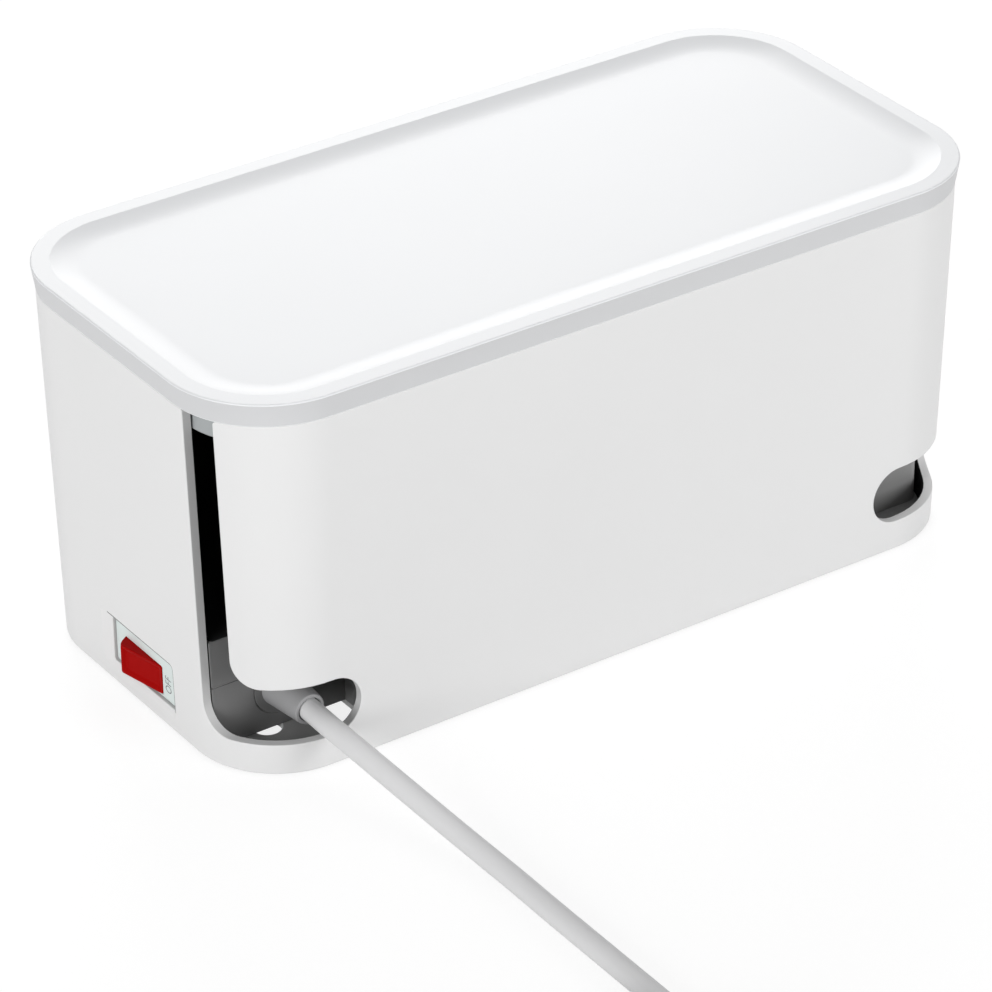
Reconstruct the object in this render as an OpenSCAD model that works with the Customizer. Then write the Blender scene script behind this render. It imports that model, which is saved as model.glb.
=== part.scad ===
// Cable management box: a lidded plastic box that hides a power strip and its tangle of leads.
// The strip's rocker switch shows in a window in the left end wall, and the leads leave by a
// slot and a channel at each front corner. +X runs along the length, -Y is the front and +Z is
// up. The origin is on the table, under the middle of the box. All lengths are in millimetres.

/* [Box] */
// Length of the box at its top edge
box_len = 317.6; // [300:0.2:420]
// Width of the box at its top edge
box_wid = 153; // [140:0.5:200]
// Height of the box from its underside to its top edge
box_h = 137.6; // [90:0.2:200]
// Radius of the upright corners at the top edge
corner_r = 36.8; // [30:0.2:44]
// Inward slope of the walls towards the floor, in degrees
draft_deg = 1.53; // [0.5:0.01:2.2]
// Thickness of the walls
wall_t = 3.6; // [2.6:0.1:4.4]
// Thickness of the floor
floor_t = 2.4; // [2.2:0.1:4]

/* [Cable slots] */
// Height of the channel's lower edge above the underside
channel_low = 11.9; // [9:0.1:20]
// Height of the channel
channel_h = 22.4; // [16:0.2:28]
// How far the channel runs along the front past the round of the corner
channel_reach = 11.9; // [11.5:0.1:40]
// Distance round the corner from the end wall to the slot
slot_from = 4.8; // [2:0.1:8]
// Width of the slot, measured round the corner
slot_wid = 13.2; // [10:0.1:16]
// Radius of the flap's lower corner
flap_r = 10.3; // [6:0.1:13]
// Radius of the bend where the slot turns into the channel
bend_r = 11.5; // [8:0.1:14]

/* [Lid] */
// Height of the lid's outer band
band_h = 9.1; // [7:0.1:14]
// How much wider the lid's top edge is than the box, on each side
lid_flare = 1.4; // [0.6:0.1:2.5]
// Thickness of the lid's plate under the tray
lid_plate_t = 2.4; // [1.6:0.1:3.2]
// Depth of the tray in the lid's top
tray_depth = 1.4; // [0.8:0.1:2.5]
// Width of the flat rim round the tray
rim_wid = 7; // [5:0.2:12]
// Width of the tray's hollow round edge
tray_slope = 8.4; // [5:0.2:12]
// Depth of the skirt below the box's top edge
skirt_depth = 8.8; // [5:0.2:14]
// Thickness of the skirt
skirt_t = 2; // [1.4:0.1:3]
// Play between the skirt and the wall
skirt_play = 0.7; // [0.4:0.1:1.5]

/* [Feet and vents] */
// Diameter of a rubber foot
foot_d = 14; // [10:0.5:18]
// Height that a foot stands proud of the underside
foot_proud = 0.8; // [0.6:0.1:1.5]
// Depth of a foot's pocket in the underside
foot_pocket = 1; // [0.8:0.1:1.2]
// Diameter of the round vents in the floor
vent_d = 11.8; // [8:0.2:16]
// Length of the long vents in the floor
vent_slot_len = 15; // [10:0.5:18]
// Width of the long vents in the floor
vent_slot_wid = 10; // [6:0.5:12]
// Distance of the feet from the end walls
foot_from_end = 63.6; // [60:0.1:80]
// Distance of the feet from the front and back walls
foot_from_side = 11.3; // [10:0.1:14]
// Distance of the round vents from the end walls
vent_from_end = 22.4; // [20:0.1:26]
// Distance of the round vents from the front and back walls
vent_from_side = 26.1; // [24:0.1:30]
// Distance of the long vents from the end walls
long_vent_from_end = 44.1; // [42:0.1:48]
// Distance of the long vents from the front and back walls
long_vent_from_side = 16.3; // [14:0.1:20]

/* [Power strip] */
// Width of the strip
strip_wid = 83.4; // [70:0.2:92]
// Height of the strip
strip_h = 42.8; // [38:0.2:50]
// Height of the seam between the strip's two halves above its underside
seam_h = 24.3; // [23:0.1:26]
// Length of the strip's narrower head, which holds the switch
head_len = 52.9; // [50:0.1:60]
// How far the head's front is set back from the strip's front
head_step = 8.2; // [4:0.1:12]
// Gap between the strip and the front wall, at the floor
front_gap = 16.7; // [12:0.1:24]
// Gap between the strip and the right end wall, at the floor
end_gap = 3.6; // [2:0.1:10]
// Thickness of the strip's housing
shell_t = 2.2; // [1.8:0.1:2.6]
// Radius of the strip's upright corners
strip_r = 4; // [2:0.1:6]
// Radius of the head's front left corner
head_corner_r = 1; // [0.8:0.1:4]
// Diameter of a socket's recess
socket_d = 39.5; // [38.5:0.1:40.5]
// Depth of a socket's recess
socket_depth = 17.5; // [16:0.1:18]
// Distance between neighbouring sockets
socket_pitch = 46; // [46:0.5:60]
// Turn of the sockets' pin holes, in degrees
socket_turn = 45; // [30:1:60]
// Distance between a socket's two pin holes
pin_gap = 19; // [18.5:0.1:19.5]
// Diameter of a pin hole
pin_hole_d = 5.4; // [5:0.1:6]
// Distance of the housing's screws from its sides
screw_inset = 7.4; // [7:0.1:9]
// Length of the housing's screws
housing_screw_len = 30; // [27:0.5:31]
// Length of the screws that hold the strip to the floor
floor_screw_len = 11.4; // [9:0.1:11.4]
// Distance of the front and rear floor screws from the strip's right end
floor_screw_from_end = 55; // [50:0.5:60]
// Distance of the front and rear floor screws from the strip's sides
floor_screw_inset = 10.7; // [10:0.1:12]

/* [Switch] */
// Length of the switch's bezel
bezel_len = 38.3; // [35:0.1:40]
// Height of the switch's bezel
bezel_h = 17.7; // [17:0.1:20]
// Length of the rocker's face
rocker_len = 20.6; // [18:0.1:22]
// Height of the rocker
rocker_h = 10.9; // [9:0.1:12]
// Angle that the rocker turns between off and on, in degrees
rocker_throw = 24; // [16:1:26]
// Diameter of the rocker's pivot pins
pivot_d = 3; // [2.4:0.1:3.6]

/* [Mains lead] */
// Diameter of the lead
cord_d = 8; // [7:0.1:8.4]
// Distance of the gland from the strip's left end
gland_from_end = 26.8; // [24:0.1:28]
// Length of the gland's sleeve outside the strip
sleeve_len = 19; // [15:0.5:26]
// Radius of the coil at the middle of its turns
coil_r = 45; // [40:0.5:50]
// Diameter of a plug pin
plug_pin_d = 4.8; // [4:0.1:4.8]
// Length of a plug pin
plug_pin_len = 19; // [17:0.5:20]

/* [Hidden] */
$fn = 64;
eps = 0.01;
play = 0.3;                  // clearance between pieces that are assembled, not joined
slope = tan(draft_deg);
base_z = foot_proud;         // underside of the box
floor_z = base_z + floor_t;  // top of the floor
rim_z = base_z + box_h;      // top edge of the box
lid_z = rim_z + band_h;      // top of the lid
cx = box_len / 2 - corner_r; // centres of the upright corners
cy = box_wid / 2 - corner_r;

// Half the length and half the width of the box's inside at a height
function inner_x(z) = box_len / 2 - wall_t - slope * (rim_z - z);
function inner_y(z) = box_wid / 2 - wall_t - slope * (rim_z - z);

// Channel, measured round the corner at the channel's own height
chan_low = base_z + channel_low;
chan_top = chan_low + channel_h;
chan_mid = (chan_low + chan_top) / 2;
chan_r = corner_r - slope * (rim_z - chan_mid);
arc_len = chan_r * PI / 2;
end_s = arc_len + channel_reach - channel_h / 2;
cut_depth = wall_t + 4;

// Strip
strip_z = floor_z;
strip_top = strip_z + strip_h;
seam_z = strip_z + seam_h;
strip_x0 = play - inner_x(floor_z);
strip_x1 = inner_x(floor_z) - end_gap;
strip_y0 = front_gap - inner_y(floor_z);
strip_y1 = strip_y0 + strip_wid;
head_x1 = strip_x0 + head_len;
head_y0 = strip_y0 + head_step;
shell_floor = strip_z + shell_t;
shell_top = strip_top - shell_t;
row_y = (strip_y0 + strip_y1) / 2;

// Sockets
flange_r = socket_pitch / 2 - 0.2;
cup_r = flange_r - 0.85;
cup_floor_z = strip_top - socket_depth;
cup_z = cup_floor_z - shell_t;
main_len = strip_x1 - head_x1;
sockets = floor((main_len - 2 * shell_t) / socket_pitch);
first_x = (head_x1 + strip_x1) / 2 - (sockets - 1) * socket_pitch / 2;
pin_off = pin_gap / 2 * cos(socket_turn);
pin_side = pin_gap / 2 * sin(socket_turn);
clip_r = socket_d / 2 - 0.95;
clip_off = clip_r * sin(socket_turn);
clip_side = clip_r * cos(socket_turn);

// Bars under the sockets
bar_t = 1;
bar_wid = 5;
bar_end = 8;
rail_wid = 6;
earth_z = shell_floor + 1.6;
live_z = shell_floor + 8.6;
leaf_gap = plug_pin_d / 2 + 0.5;
leaf_t = 0.8;

// Switch
switch_z = strip_z + 12.35;  // middle of the rocker
bezel_z = strip_z + 14.85;
bezel_y = (head_y0 + strip_y1) / 2 + 1.2;
rocker_y = bezel_y + 3.2;
bezel_proud = 2;
bezel_x = strip_x0 - bezel_proud;
pivot_x = bezel_x + 6;
face_off = 8.4;
rocker_reach = sqrt(pow(rocker_len / 2, 2) + pow(face_off, 2));
rocker_room = rocker_reach + play;
case_t = 1.5;
case_depth = 20;
case_len = 2 * (rocker_room + case_t);
case_h = rocker_h + 0.4 + 2 * case_t;
case_x1 = strip_x0 + case_depth;
plunger_d = 2.8;
plunger_reach = 9.3;
arm_x = pivot_x + 11.3;
arm_t = 0.8;
arm_len = 18;
arm_wid = 5;
arm_tilt = rocker_throw / 3;
contact_off = 8;
window_x = bezel_x - 1.5;  // sharp edge of the window, between the recess and the bezel
recess_back = 5.5;
recess_top = 0.9;
recess_low = 2.4;
recess_front = 0.6;

// Gland and cord clamp
gland_x = strip_x0 + gland_from_end;
gland_z = strip_z + 15.8;
lead_in_y = head_y0 + 17.4;  // where the sheath of the lead ends inside the head
gland_flange_r = 10.4;
gland_neck_r = 7.8;
gland_bore_r = cord_d / 2 + 0.12;
clamp_y = head_y0 + 11.4;
clamp_len = 24;
clamp_wid = 6;
clamp_bolt = 8.5;

// Screws: each is a head and a shank, and the hole that takes it is a little wider
shank_r = 1.45;
hole_r = 1.7;
pilot_r = 1.5;
head_r = 2.9;
head_t = 2;
boss_r = 4;
mid_x = first_x + 1.5 * socket_pitch;
housing_screws = [
    [strip_x0 + screw_inset, head_y0 + screw_inset], [strip_x0 + screw_inset, strip_y1 - screw_inset],
    [mid_x, strip_y0 + screw_inset], [mid_x, strip_y1 - screw_inset],
    [strip_x1 - screw_inset, strip_y0 + screw_inset], [strip_x1 - screw_inset, strip_y1 - screw_inset]
];
floor_boss_r = 5.5;
floor_boss_h = 2;
head_screw = [head_x1 - 13.6, strip_y1 - 16.8];
floor_screws = [
    head_screw,
    [strip_x1 - floor_screw_from_end, strip_y1 - floor_screw_inset],
    [strip_x1 - floor_screw_from_end, strip_y0 + floor_screw_inset]
];

// Feet and vents, placed from the corners of the floor
foot_x = inner_x(floor_z) - foot_from_end;
foot_y = inner_y(floor_z) - foot_from_side;
vent_x = inner_x(floor_z) - vent_from_end;
vent_y = inner_y(floor_z) - vent_from_side;
long_vent_x = inner_x(floor_z) - long_vent_from_end;
long_vent_y = inner_y(floor_z) - long_vent_from_side;

// Route of the lead from inside the strip to the coil, and from the coil to the plug
lead_route = [
    [gland_x, lead_in_y, gland_z], [gland_x, -45, gland_z], [gland_x, -64, gland_z],
    [gland_x, -76, gland_z - 0.2], [gland_x + 1, -90, 17.6], [gland_x + 3, -105, 15],
    [gland_x + 5.5, -120, 11.8], [gland_x + 8, -136, 8.6], [gland_x + 10, -152, 6.2],
    [gland_x + 11.5, -170, 4.5], [gland_x + 11.7, -190, 4], [gland_x + 11.7, -215, 4],
    [gland_x + 11.7, -245, 4], [gland_x + 11.7, -275, 4.3], [gland_x + 11.7, -300, 4.6]
];
coil_x = gland_x - 37.3;
coil_y = -300;
plug_y = coil_y - coil_r - cord_d / 2;
tail_route = [
    [coil_x, plug_y, 12.6], [coil_x - 13.2, plug_y, 13.2], [coil_x - 28.2, plug_y, 15.4],
    [coil_x - 43.2, plug_y, 18], [coil_x - 55.2, plug_y, 19], [coil_x - 70.2, plug_y, 19]
];
coil_turns_wide = 2;
tie_t = 0.6;
tie_wid = 8;
tie_turn = 150;

// Plug, lying on its side beside the coil
plug_x = coil_x - 55.2;
plug_z = 19;
plug_sleeve_len = 28;
plug_grip_len = 27;
plug_face_t = 8;
plug_r = 18.9;
pin_root = 6;
root_r = plug_pin_d / 2 - 0.6;
plug_face_x = plug_x - plug_sleeve_len - plug_grip_len - plug_face_t;

// Wires inside the strip, each from the lead's end or the switch to the bar that it is soldered on
wire_d = 2.4;
solder_gap = 0.1;
bar_x0 = first_x - 25;
rail_x0 = first_x - clip_off - 12;
live_y = row_y + pin_side;
neutral_y = row_y - pin_side;
earth_y = row_y - clip_side;
on_bar_z = live_z + bar_t + wire_d / 2 + solder_gap;
on_rail_z = earth_z + bar_t + wire_d / 2 + solder_gap;
core_y = lead_in_y + play;
live_route = [
    [gland_x - 1.6, core_y, gland_z + 0.9], [gland_x - 1.6, core_y + 2.7, gland_z + 0.9],
    [gland_x - 0.9, core_y + 6.7, gland_z + 1.2], [gland_x + 3, rocker_y - 9.6, switch_z + 1.6],
    [gland_x + 4.3, rocker_y - 3.6, switch_z + 1.2], [gland_x + 2.9, rocker_y - 0.4, switch_z + 0.4],
    [gland_x - 0.1, rocker_y, switch_z]
];
switched_route = [
    [gland_x - 0.1, rocker_y - contact_off, switch_z - 3.8],
    [gland_x + 3.5, rocker_y - contact_off, switch_z - 4.2],
    [gland_x + 8.5, rocker_y - 6.6, switch_z - 4.8], [gland_x + 16.5, rocker_y - 3, switch_z - 4.4],
    [head_x1 - 0.6, rocker_y - 0.2, on_bar_z - 0.3], [bar_x0 - 3, live_y, on_bar_z],
    [bar_x0 + 3, live_y, on_bar_z]
];
neutral_route = [
    [gland_x + 1.6, core_y, gland_z + 0.9], [gland_x + 1.6, core_y + 2.7, gland_z + 0.9],
    [gland_x + 4.5, core_y + 6.2, gland_z + 0.2], [gland_x + 12.5, neutral_y - 1, gland_z - 1.2],
    [head_x1 - 2.6, neutral_y, on_bar_z + 0.2], [bar_x0 - 3, neutral_y, on_bar_z],
    [bar_x0 + 3, neutral_y, on_bar_z]
];
earth_route = [
    [gland_x, core_y, gland_z - 2], [gland_x, core_y + 2.7, gland_z - 2],
    [gland_x + 1.9, core_y + 4.9, gland_z - 4.4], [gland_x + 7.5, core_y + 4.7, gland_z - 8],
    [gland_x + 17.5, earth_y + 0.8, on_rail_z + 0.2], [rail_x0 - 3, earth_y, on_rail_z],
    [rail_x0 + 3, earth_y, on_rail_z]
];

// ---------- shared shapes ----------

// Block with the box's four round corners, whose radius runs from r0 at z0 to r1 at z1
module corner_block(z0, z1, r0, r1) {
    hull()
        for (sx = [-1, 1], sy = [-1, 1])
            translate([sx * cx, sy * cy, z0]) cylinder(h = z1 - z0, r1 = r0, r2 = r1);
}

// Part of the box's drafted form, set in from its outside
module drafted_block(z0, z1, inset) {
    corner_block(z0, z1, corner_r - inset - slope * (rim_z - z0), corner_r - inset - slope * (rim_z - z1));
}

// Rectangle with true round corners
module round_rect(x0, y0, x1, y1, r) {
    translate([x0 + r, y0]) square([x1 - x0 - 2 * r, y1 - y0]);
    translate([x0, y0 + r]) square([x1 - x0, y1 - y0 - 2 * r]);
    for (x = [x0 + r, x1 - r], y = [y0 + r, y1 - r]) translate([x, y]) circle(r);
}

// The strip's outline seen from above, set in by a distance
module strip_outline(inset = 0) {
    r = max(0.8, strip_r - inset);
    round_rect(strip_x0 + inset, head_y0 + inset, head_x1 + 2 * strip_r, strip_y1 - inset, r);
    round_rect(head_x1 + inset, strip_y0 + inset, strip_x1 - inset, strip_y1 - inset, r);
    round_rect(strip_x0 + inset, head_y0 + inset, head_x1, head_y0 + 4 * strip_r,
        max(0.6, head_corner_r - inset));
}

// Cylinder that runs from y0 to y1
module y_cylinder(x, z, y0, y1, r0, r1) {
    translate([x, y0, z]) rotate([-90, 0, 0]) cylinder(h = y1 - y0, r1 = r0, r2 = r1);
}

// Cylinder that runs from x1 down to x0, r1 being its radius at x1
module x_cylinder(y, z, x1, x0, r1, r0) {
    translate([x1, y, z]) rotate([0, -90, 0]) cylinder(h = x1 - x0, r1 = r1, r2 = r0);
}

// Ribbon of cut along the corner and the front wall, between two heights that follow s.
// s runs round the corner from the end wall and then along the front.
// At the slot the cut runs straight along the length, and from there it turns to the middle of the corner.
function on_corner(s, r) = s > arc_len ? [-cx + s - arc_len, -cy - r]
    : let (a = 90 * s / arc_len, b = min(a, 90 * (slot_from + slot_wid) / arc_len),
           t = a + (asin(chan_r / r * sin(b)) - b) * (90 - a) / (90 - b))
    [-cx - r * cos(t), -cy - r * sin(t)];
module ribbon(s0, s1, low, high, steps = 28) {
    r_in = chan_r - cut_depth;
    r_out = corner_r + 5;
    pts = [for (i = [0 : steps])
        let (s = s0 + (s1 - s0) * i / steps, a = on_corner(s, r_in), b = on_corner(s, r_out))
        each [[a[0], a[1], low(s)], [b[0], b[1], low(s)], [b[0], b[1], high(s)], [a[0], a[1], high(s)]]];
    sides = [for (i = [0 : steps - 1], k = [0 : 3])
        let (p = 4 * i + k, q = 4 * i + (k + 1) % 4) each [[p, q, q + 4], [p, q + 4, p + 4]]];
    n = 4 * steps;
    polyhedron(pts, concat([[0, 2, 1], [0, 3, 2], [n, n + 1, n + 2], [n, n + 2, n + 3]], sides));
}
function round_off(r, d) = r - sqrt(max(0, r * r - d * d));

// Slot and channel of the left front corner
module cable_slot() {
    slot_to = slot_from + slot_wid;
    low = function (s) chan_low + round_off(bend_r, max(0, slot_from + bend_r - s));
    high = function (s) chan_top + round_off(flap_r, min(flap_r, max(0, slot_to + flap_r - s)));
    ribbon(slot_from, slot_to, low, function (s) rim_z + 1, 12);
    ribbon(slot_to - 1, end_s, low, high);
    y_cylinder(-cx + end_s - arc_len, chan_mid, -cy - corner_r - 5, -cy - chan_r + cut_depth,
        channel_h / 2, channel_h / 2);
}

// Tube along a route: a smooth curve through the points, swept with a many-sided ring
function unit(v) = v / norm(v);
function spline(a, b, c, d, t) = 0.5 * (2 * b + (c - a) * t + (2 * a - 5 * b + 4 * c - d) * t * t
    + (3 * b - a - 3 * c + d) * t * t * t);
function smooth(p, cuts) = let (n = len(p) - 1) concat(
    [for (i = [0 : n - 1], k = [0 : cuts - 1])
        spline(p[max(0, i - 1)], p[i], p[i + 1], p[min(n, i + 2)], k / cuts)], [p[n]]);
function heading(p, i) = unit(p[min(len(p) - 1, i + 1)] - p[max(0, i - 1)]);
module tube(route, d, sides = 12, cuts = 2) {
    p = smooth(route, cuts);
    n = len(p);
    pts = [for (i = [0 : n - 1])
        let (t = heading(p, i), u = unit(cross(t, [0, 0, 1])), v = cross(u, t))
        for (k = [0 : sides - 1]) p[i] + d / 2 * (cos(360 * k / sides) * u + sin(360 * k / sides) * v)];
    walls = [for (i = [0 : n - 2], k = [0 : sides - 1])
        let (a = i * sides + k, b = i * sides + (k + 1) % sides)
        each [[a, b, b + sides], [a, b + sides, a + sides]]];
    caps = [[for (k = [sides - 1 : -1 : 0]) k], [for (k = [0 : sides - 1]) (n - 1) * sides + k]];
    polyhedron(pts, concat(caps, walls));
}

module screw(x, y, z, length, r_head) {
    translate([x, y, z]) cylinder(h = head_t, r = r_head);
    translate([x, y, z + head_t - eps]) cylinder(h = length - head_t + eps, r = shank_r);
}

// ---------- box ----------

// Window in the end wall for the switch, with a sloping recess round it
module switch_window() {
    y0 = bezel_y - bezel_len / 2 - play;
    y1 = bezel_y + bezel_len / 2 + play;
    z0 = bezel_z - bezel_h / 2 - play;
    z1 = bezel_z + bezel_h / 2 + play;
    translate([strip_x0 - 10, y0, z0]) cube([16, y1 - y0, z1 - z0]);
    hull() {
        translate([window_x, y0, z0]) cube([eps, y1 - y0, z1 - z0]);
        for (z = [z0 - recess_low, z1 + recess_top])
            translate([-box_len / 2 + slope * (rim_z - z) - 0.02, y0 - recess_front, z])
                cube([eps, y1 - y0 + recess_back + recess_front, eps]);
    }
}

module box_body() {
    color("white") difference() {
        union() {
            difference() {
                drafted_block(base_z, rim_z, 0);
                drafted_block(floor_z, rim_z + 1, wall_t);
            }
            for (p = floor_screws)
                translate([p[0], p[1], floor_z - eps]) cylinder(h = floor_boss_h + eps, r = floor_boss_r);
        }
        for (side = [0, 1]) mirror([side, 0, 0]) cable_slot();
        switch_window();
        for (sx = [-1, 1], sy = [-1, 1]) {
            translate([sx * foot_x, sy * foot_y, base_z - 1])
                cylinder(h = foot_pocket + 1, r = foot_d / 2 + 0.2);
            translate([sx * vent_x, sy * vent_y, base_z - 1]) cylinder(h = floor_t + 2, d = vent_d);
            translate([sx * long_vent_x, sy * long_vent_y, floor_z])
                cube([vent_slot_wid, vent_slot_len, 3 * floor_t], center = true);
        }
        for (p = floor_screws) translate([p[0], p[1], base_z - 1]) {
            cylinder(h = head_t + 1.2, r = head_r + 0.3);
            cylinder(h = floor_t + floor_boss_h + 2, r = hole_r);
        }
    }
}

module rubber_feet() {
    color("dimgray") for (sx = [-1, 1], sy = [-1, 1])
        translate([sx * foot_x, sy * foot_y, 0]) cylinder(h = foot_proud + foot_pocket, d = foot_d);
}

// ---------- lid ----------

module lid() {
    top_r = corner_r + lid_flare;
    skirt_out = wall_t + skirt_play;
    skirt_in = skirt_out + skirt_t;
    tray_z = lid_z - tray_depth;
    under_z = tray_z - lid_plate_t;
    band_t = 2.2;
    color("white") difference() {
        union() {
            corner_block(rim_z, lid_z, corner_r, top_r);
            corner_block(rim_z - skirt_depth, rim_z + 1, corner_r - skirt_out, corner_r - skirt_out);
        }
        corner_block(rim_z - skirt_depth - 1, under_z, corner_r - skirt_in, corner_r - skirt_in);
        difference() {
            corner_block(rim_z - 1, under_z, corner_r - band_t, corner_r - band_t);
            corner_block(rim_z - 2, under_z + 1, corner_r - skirt_out, corner_r - skirt_out);
        }
        corner_block(tray_z, lid_z + eps, top_r - rim_wid - tray_slope, top_r - rim_wid);
    }
}

// ---------- power strip ----------

// Hole for the gland in the head's front wall
module gland_hole() {
    neck_r = gland_neck_r + 0.15;
    flange_r = gland_flange_r + 0.15;
    y_cylinder(gland_x, gland_z, head_y0 - 1, head_y0 + shell_t + 1, neck_r, neck_r);
    y_cylinder(gland_x, gland_z, head_y0 - 1, head_y0 + 1.2, flange_r, flange_r);
}

module strip_base() {
    color("gray") difference() {
        union() {
            difference() {
                translate([0, 0, strip_z]) linear_extrude(seam_h) strip_outline();
                translate([0, 0, shell_floor]) linear_extrude(seam_h) strip_outline(shell_t);
            }
            for (p = housing_screws)
                translate([p[0], p[1], shell_floor - eps])
                    cylinder(h = seam_z - shell_floor + eps, r = boss_r);
            for (p = floor_screws)
                translate([p[0], p[1], shell_floor - eps]) cylinder(h = 8.6, r = floor_boss_r + 2.3);
            translate([gland_x - clamp_len / 2, clamp_y - clamp_wid / 2, shell_floor - eps])
                cube([clamp_len, clamp_wid, gland_z - shell_floor + eps]);
            for (i = [0 : sockets]) bar_rest(first_x + (i - 0.5) * socket_pitch);
        }
        for (p = housing_screws) translate([p[0], p[1], strip_z - 1]) {
            cylinder(h = seam_h + 2, r = hole_r);
            cylinder(h = head_t + 2.6, r = head_r + 0.3);
        }
        for (p = floor_screws) translate([p[0], p[1], strip_z - 1]) {
            cylinder(h = floor_boss_h + 1.1, r = floor_boss_r + play);
            cylinder(h = 11, r = pilot_r);
        }
        translate([strip_x0 - 1, rocker_y - case_len / 2 - 0.1, switch_z - case_h / 2 - 0.1])
            cube([shell_t + 2, case_len + 0.2, case_h + 0.2]);
        gland_hole();
        y_cylinder(gland_x, gland_z, clamp_y - clamp_wid, clamp_y + clamp_wid, gland_bore_r, gland_bore_r);
        for (sx = [-1, 1]) translate([gland_x + sx * clamp_bolt, clamp_y, gland_z - 9])
            cylinder(h = 10, r = pilot_r);
    }
}

// Rib and posts that carry the earth bar and the two current bars between the sockets
module bar_rest(x) {
    rib = 2;
    translate([x - rib / 2, row_y - clip_side - rail_wid / 2, shell_floor - eps])
        cube([rib, 2 * clip_side + rail_wid, earth_z - shell_floor + eps]);
    for (y = [row_y - pin_side, row_y + pin_side])
        translate([x - rib, y - rib, shell_floor - eps])
            cube([2 * rib, 2 * rib, live_z - shell_floor + eps]);
}

module strip_cover() {
    color("gray") difference() {
        union() {
            difference() {
                translate([0, 0, seam_z]) linear_extrude(strip_top - seam_z) strip_outline();
                translate([0, 0, seam_z - 1]) linear_extrude(shell_top - seam_z + 1) strip_outline(shell_t);
            }
            for (p = housing_screws)
                translate([p[0], p[1], seam_z]) cylinder(h = strip_top - seam_z - 1, r = boss_r);
        }
        for (i = [0 : sockets - 1])
            translate([first_x + i * socket_pitch, row_y, shell_top - 1]) cylinder(h = 9, r = cup_r + 0.15);
        for (p = housing_screws) translate([p[0], p[1], seam_z - 1]) cylinder(h = 13, r = pilot_r);
        gland_hole();
    }
}

// Cup that a plug sits in, with guide ribs, pin holes and slots for the earth clips
module socket_insert() {
    guide = [1.6, 5.2];
    difference() {
        union() {
            translate([0, 0, cup_z]) cylinder(h = strip_top - cup_z, r = cup_r);
            translate([0, 0, shell_top - 1.6]) cylinder(h = 1.6, r = flange_r);
        }
        difference() {
            translate([0, 0, cup_floor_z]) cylinder(h = socket_depth + 1, d = socket_d);
            rotate(socket_turn) for (sx = [-1, 1])
                translate([sx * (socket_d / 2 + 0.4) - guide[0], -guide[1] / 2, cup_floor_z - 1])
                    cube([2 * guide[0], guide[1], socket_depth]);
        }
        for (s = [-1, 1]) {
            translate([s * pin_off, s * pin_side, cup_z - 1]) cylinder(h = shell_t + 2, d = pin_hole_d);
            rotate(socket_turn) translate([-3.5, s * clip_r - 1, cup_z - 1]) cube([7, 2, shell_t + 2]);
        }
    }
}

module socket_inserts() {
    color("lightgray") for (i = [0 : sockets - 1])
        translate([first_x + i * socket_pitch, row_y, 0]) socket_insert();
}

// Earth bar: two rails joined by cross pieces, with a pair of side clips in each socket
module earth_bar() {
    rail_len = (sockets - 1) * socket_pitch + 2 * clip_off + 16;
    color("goldenrod") {
        for (s = [-1, 1]) translate([rail_x0, row_y + s * clip_side - rail_wid / 2, earth_z])
            cube([rail_len, rail_wid, bar_t]);
        for (i = [0 : sockets - 1]) translate([first_x + i * socket_pitch, row_y, 0]) {
            translate([-bar_wid / 2, -clip_side, earth_z]) cube([bar_wid, 2 * clip_side, bar_t]);
            for (s = [-1, 1]) rotate(socket_turn)
                translate([-3, s * clip_r - 0.4, earth_z]) cube([6, 0.8, strip_top - 4 - earth_z]);
        }
    }
}

// Current bar with a pair of spring leaves under each pin hole on its side
module current_bar(side) {
    y = row_y + side * pin_side;
    hole_x = first_x + side * pin_off;
    color("peru") {
        translate([bar_x0, y - bar_wid / 2, live_z])
            cube([hole_x + (sockets - 1) * socket_pitch + bar_end - bar_x0, bar_wid, bar_t]);
        for (i = [0 : sockets - 1], leaf_x = [-leaf_gap - leaf_t, leaf_gap])
            translate([hole_x + i * socket_pitch + leaf_x, y - bar_wid / 2, live_z])
                cube([leaf_t, bar_wid, cup_z - 0.5 - live_z]);
    }
}
module live_bar() { current_bar(1); }
module neutral_bar() { current_bar(-1); }

// ---------- switch ----------

module switch_case() {
    room_h = case_h - 2 * case_t;
    color("black") difference() {
        translate([strip_x0, rocker_y - case_len / 2, switch_z - case_h / 2])
            cube([case_depth, case_len, case_h]);
        translate([strip_x0 - 1, rocker_y - rocker_room, switch_z - room_h / 2])
            cube([case_depth + 1 - case_t, 2 * rocker_room, room_h]);
        translate([pivot_x, rocker_y, switch_z - case_h]) cylinder(h = 2 * case_h, r = pivot_d / 2 + 0.05);
        for (t = terminal_places) translate([case_x1 - case_t - 1, rocker_y + t[0] - 2.6, t[1] - 0.6])
            cube([case_t + 2, 5.2, 1.2]);
    }
}

module switch_bezel() {
    color("gainsboro") difference() {
        translate([bezel_x, bezel_y - bezel_len / 2, bezel_z - bezel_h / 2])
            cube([bezel_proud, bezel_len, bezel_h]);
        translate([pivot_x, rocker_y, switch_z]) cylinder(h = rocker_h + 0.4, r = rocker_room, center = true);
    }
}

// Places what turns with the rocker, at its off position
module at_rocker() {
    translate([pivot_x, rocker_y, switch_z]) rotate([0, 0, rocker_throw / 2]) children();
}

module rocker() {
    back = 3;
    color("red") at_rocker() difference() {
        union() {
            intersection() {
                cylinder(h = rocker_h, r = rocker_reach, center = true);
                translate([-face_off, -rocker_reach, -rocker_h / 2])
                    cube([face_off + back, 2 * rocker_reach, rocker_h]);
            }
            cylinder(h = case_h - 0.4, d = pivot_d, center = true);
        }
        rotate([0, 90, 0]) cylinder(h = 2 * back, d = plunger_d + 0.2);
    }
}

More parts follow.
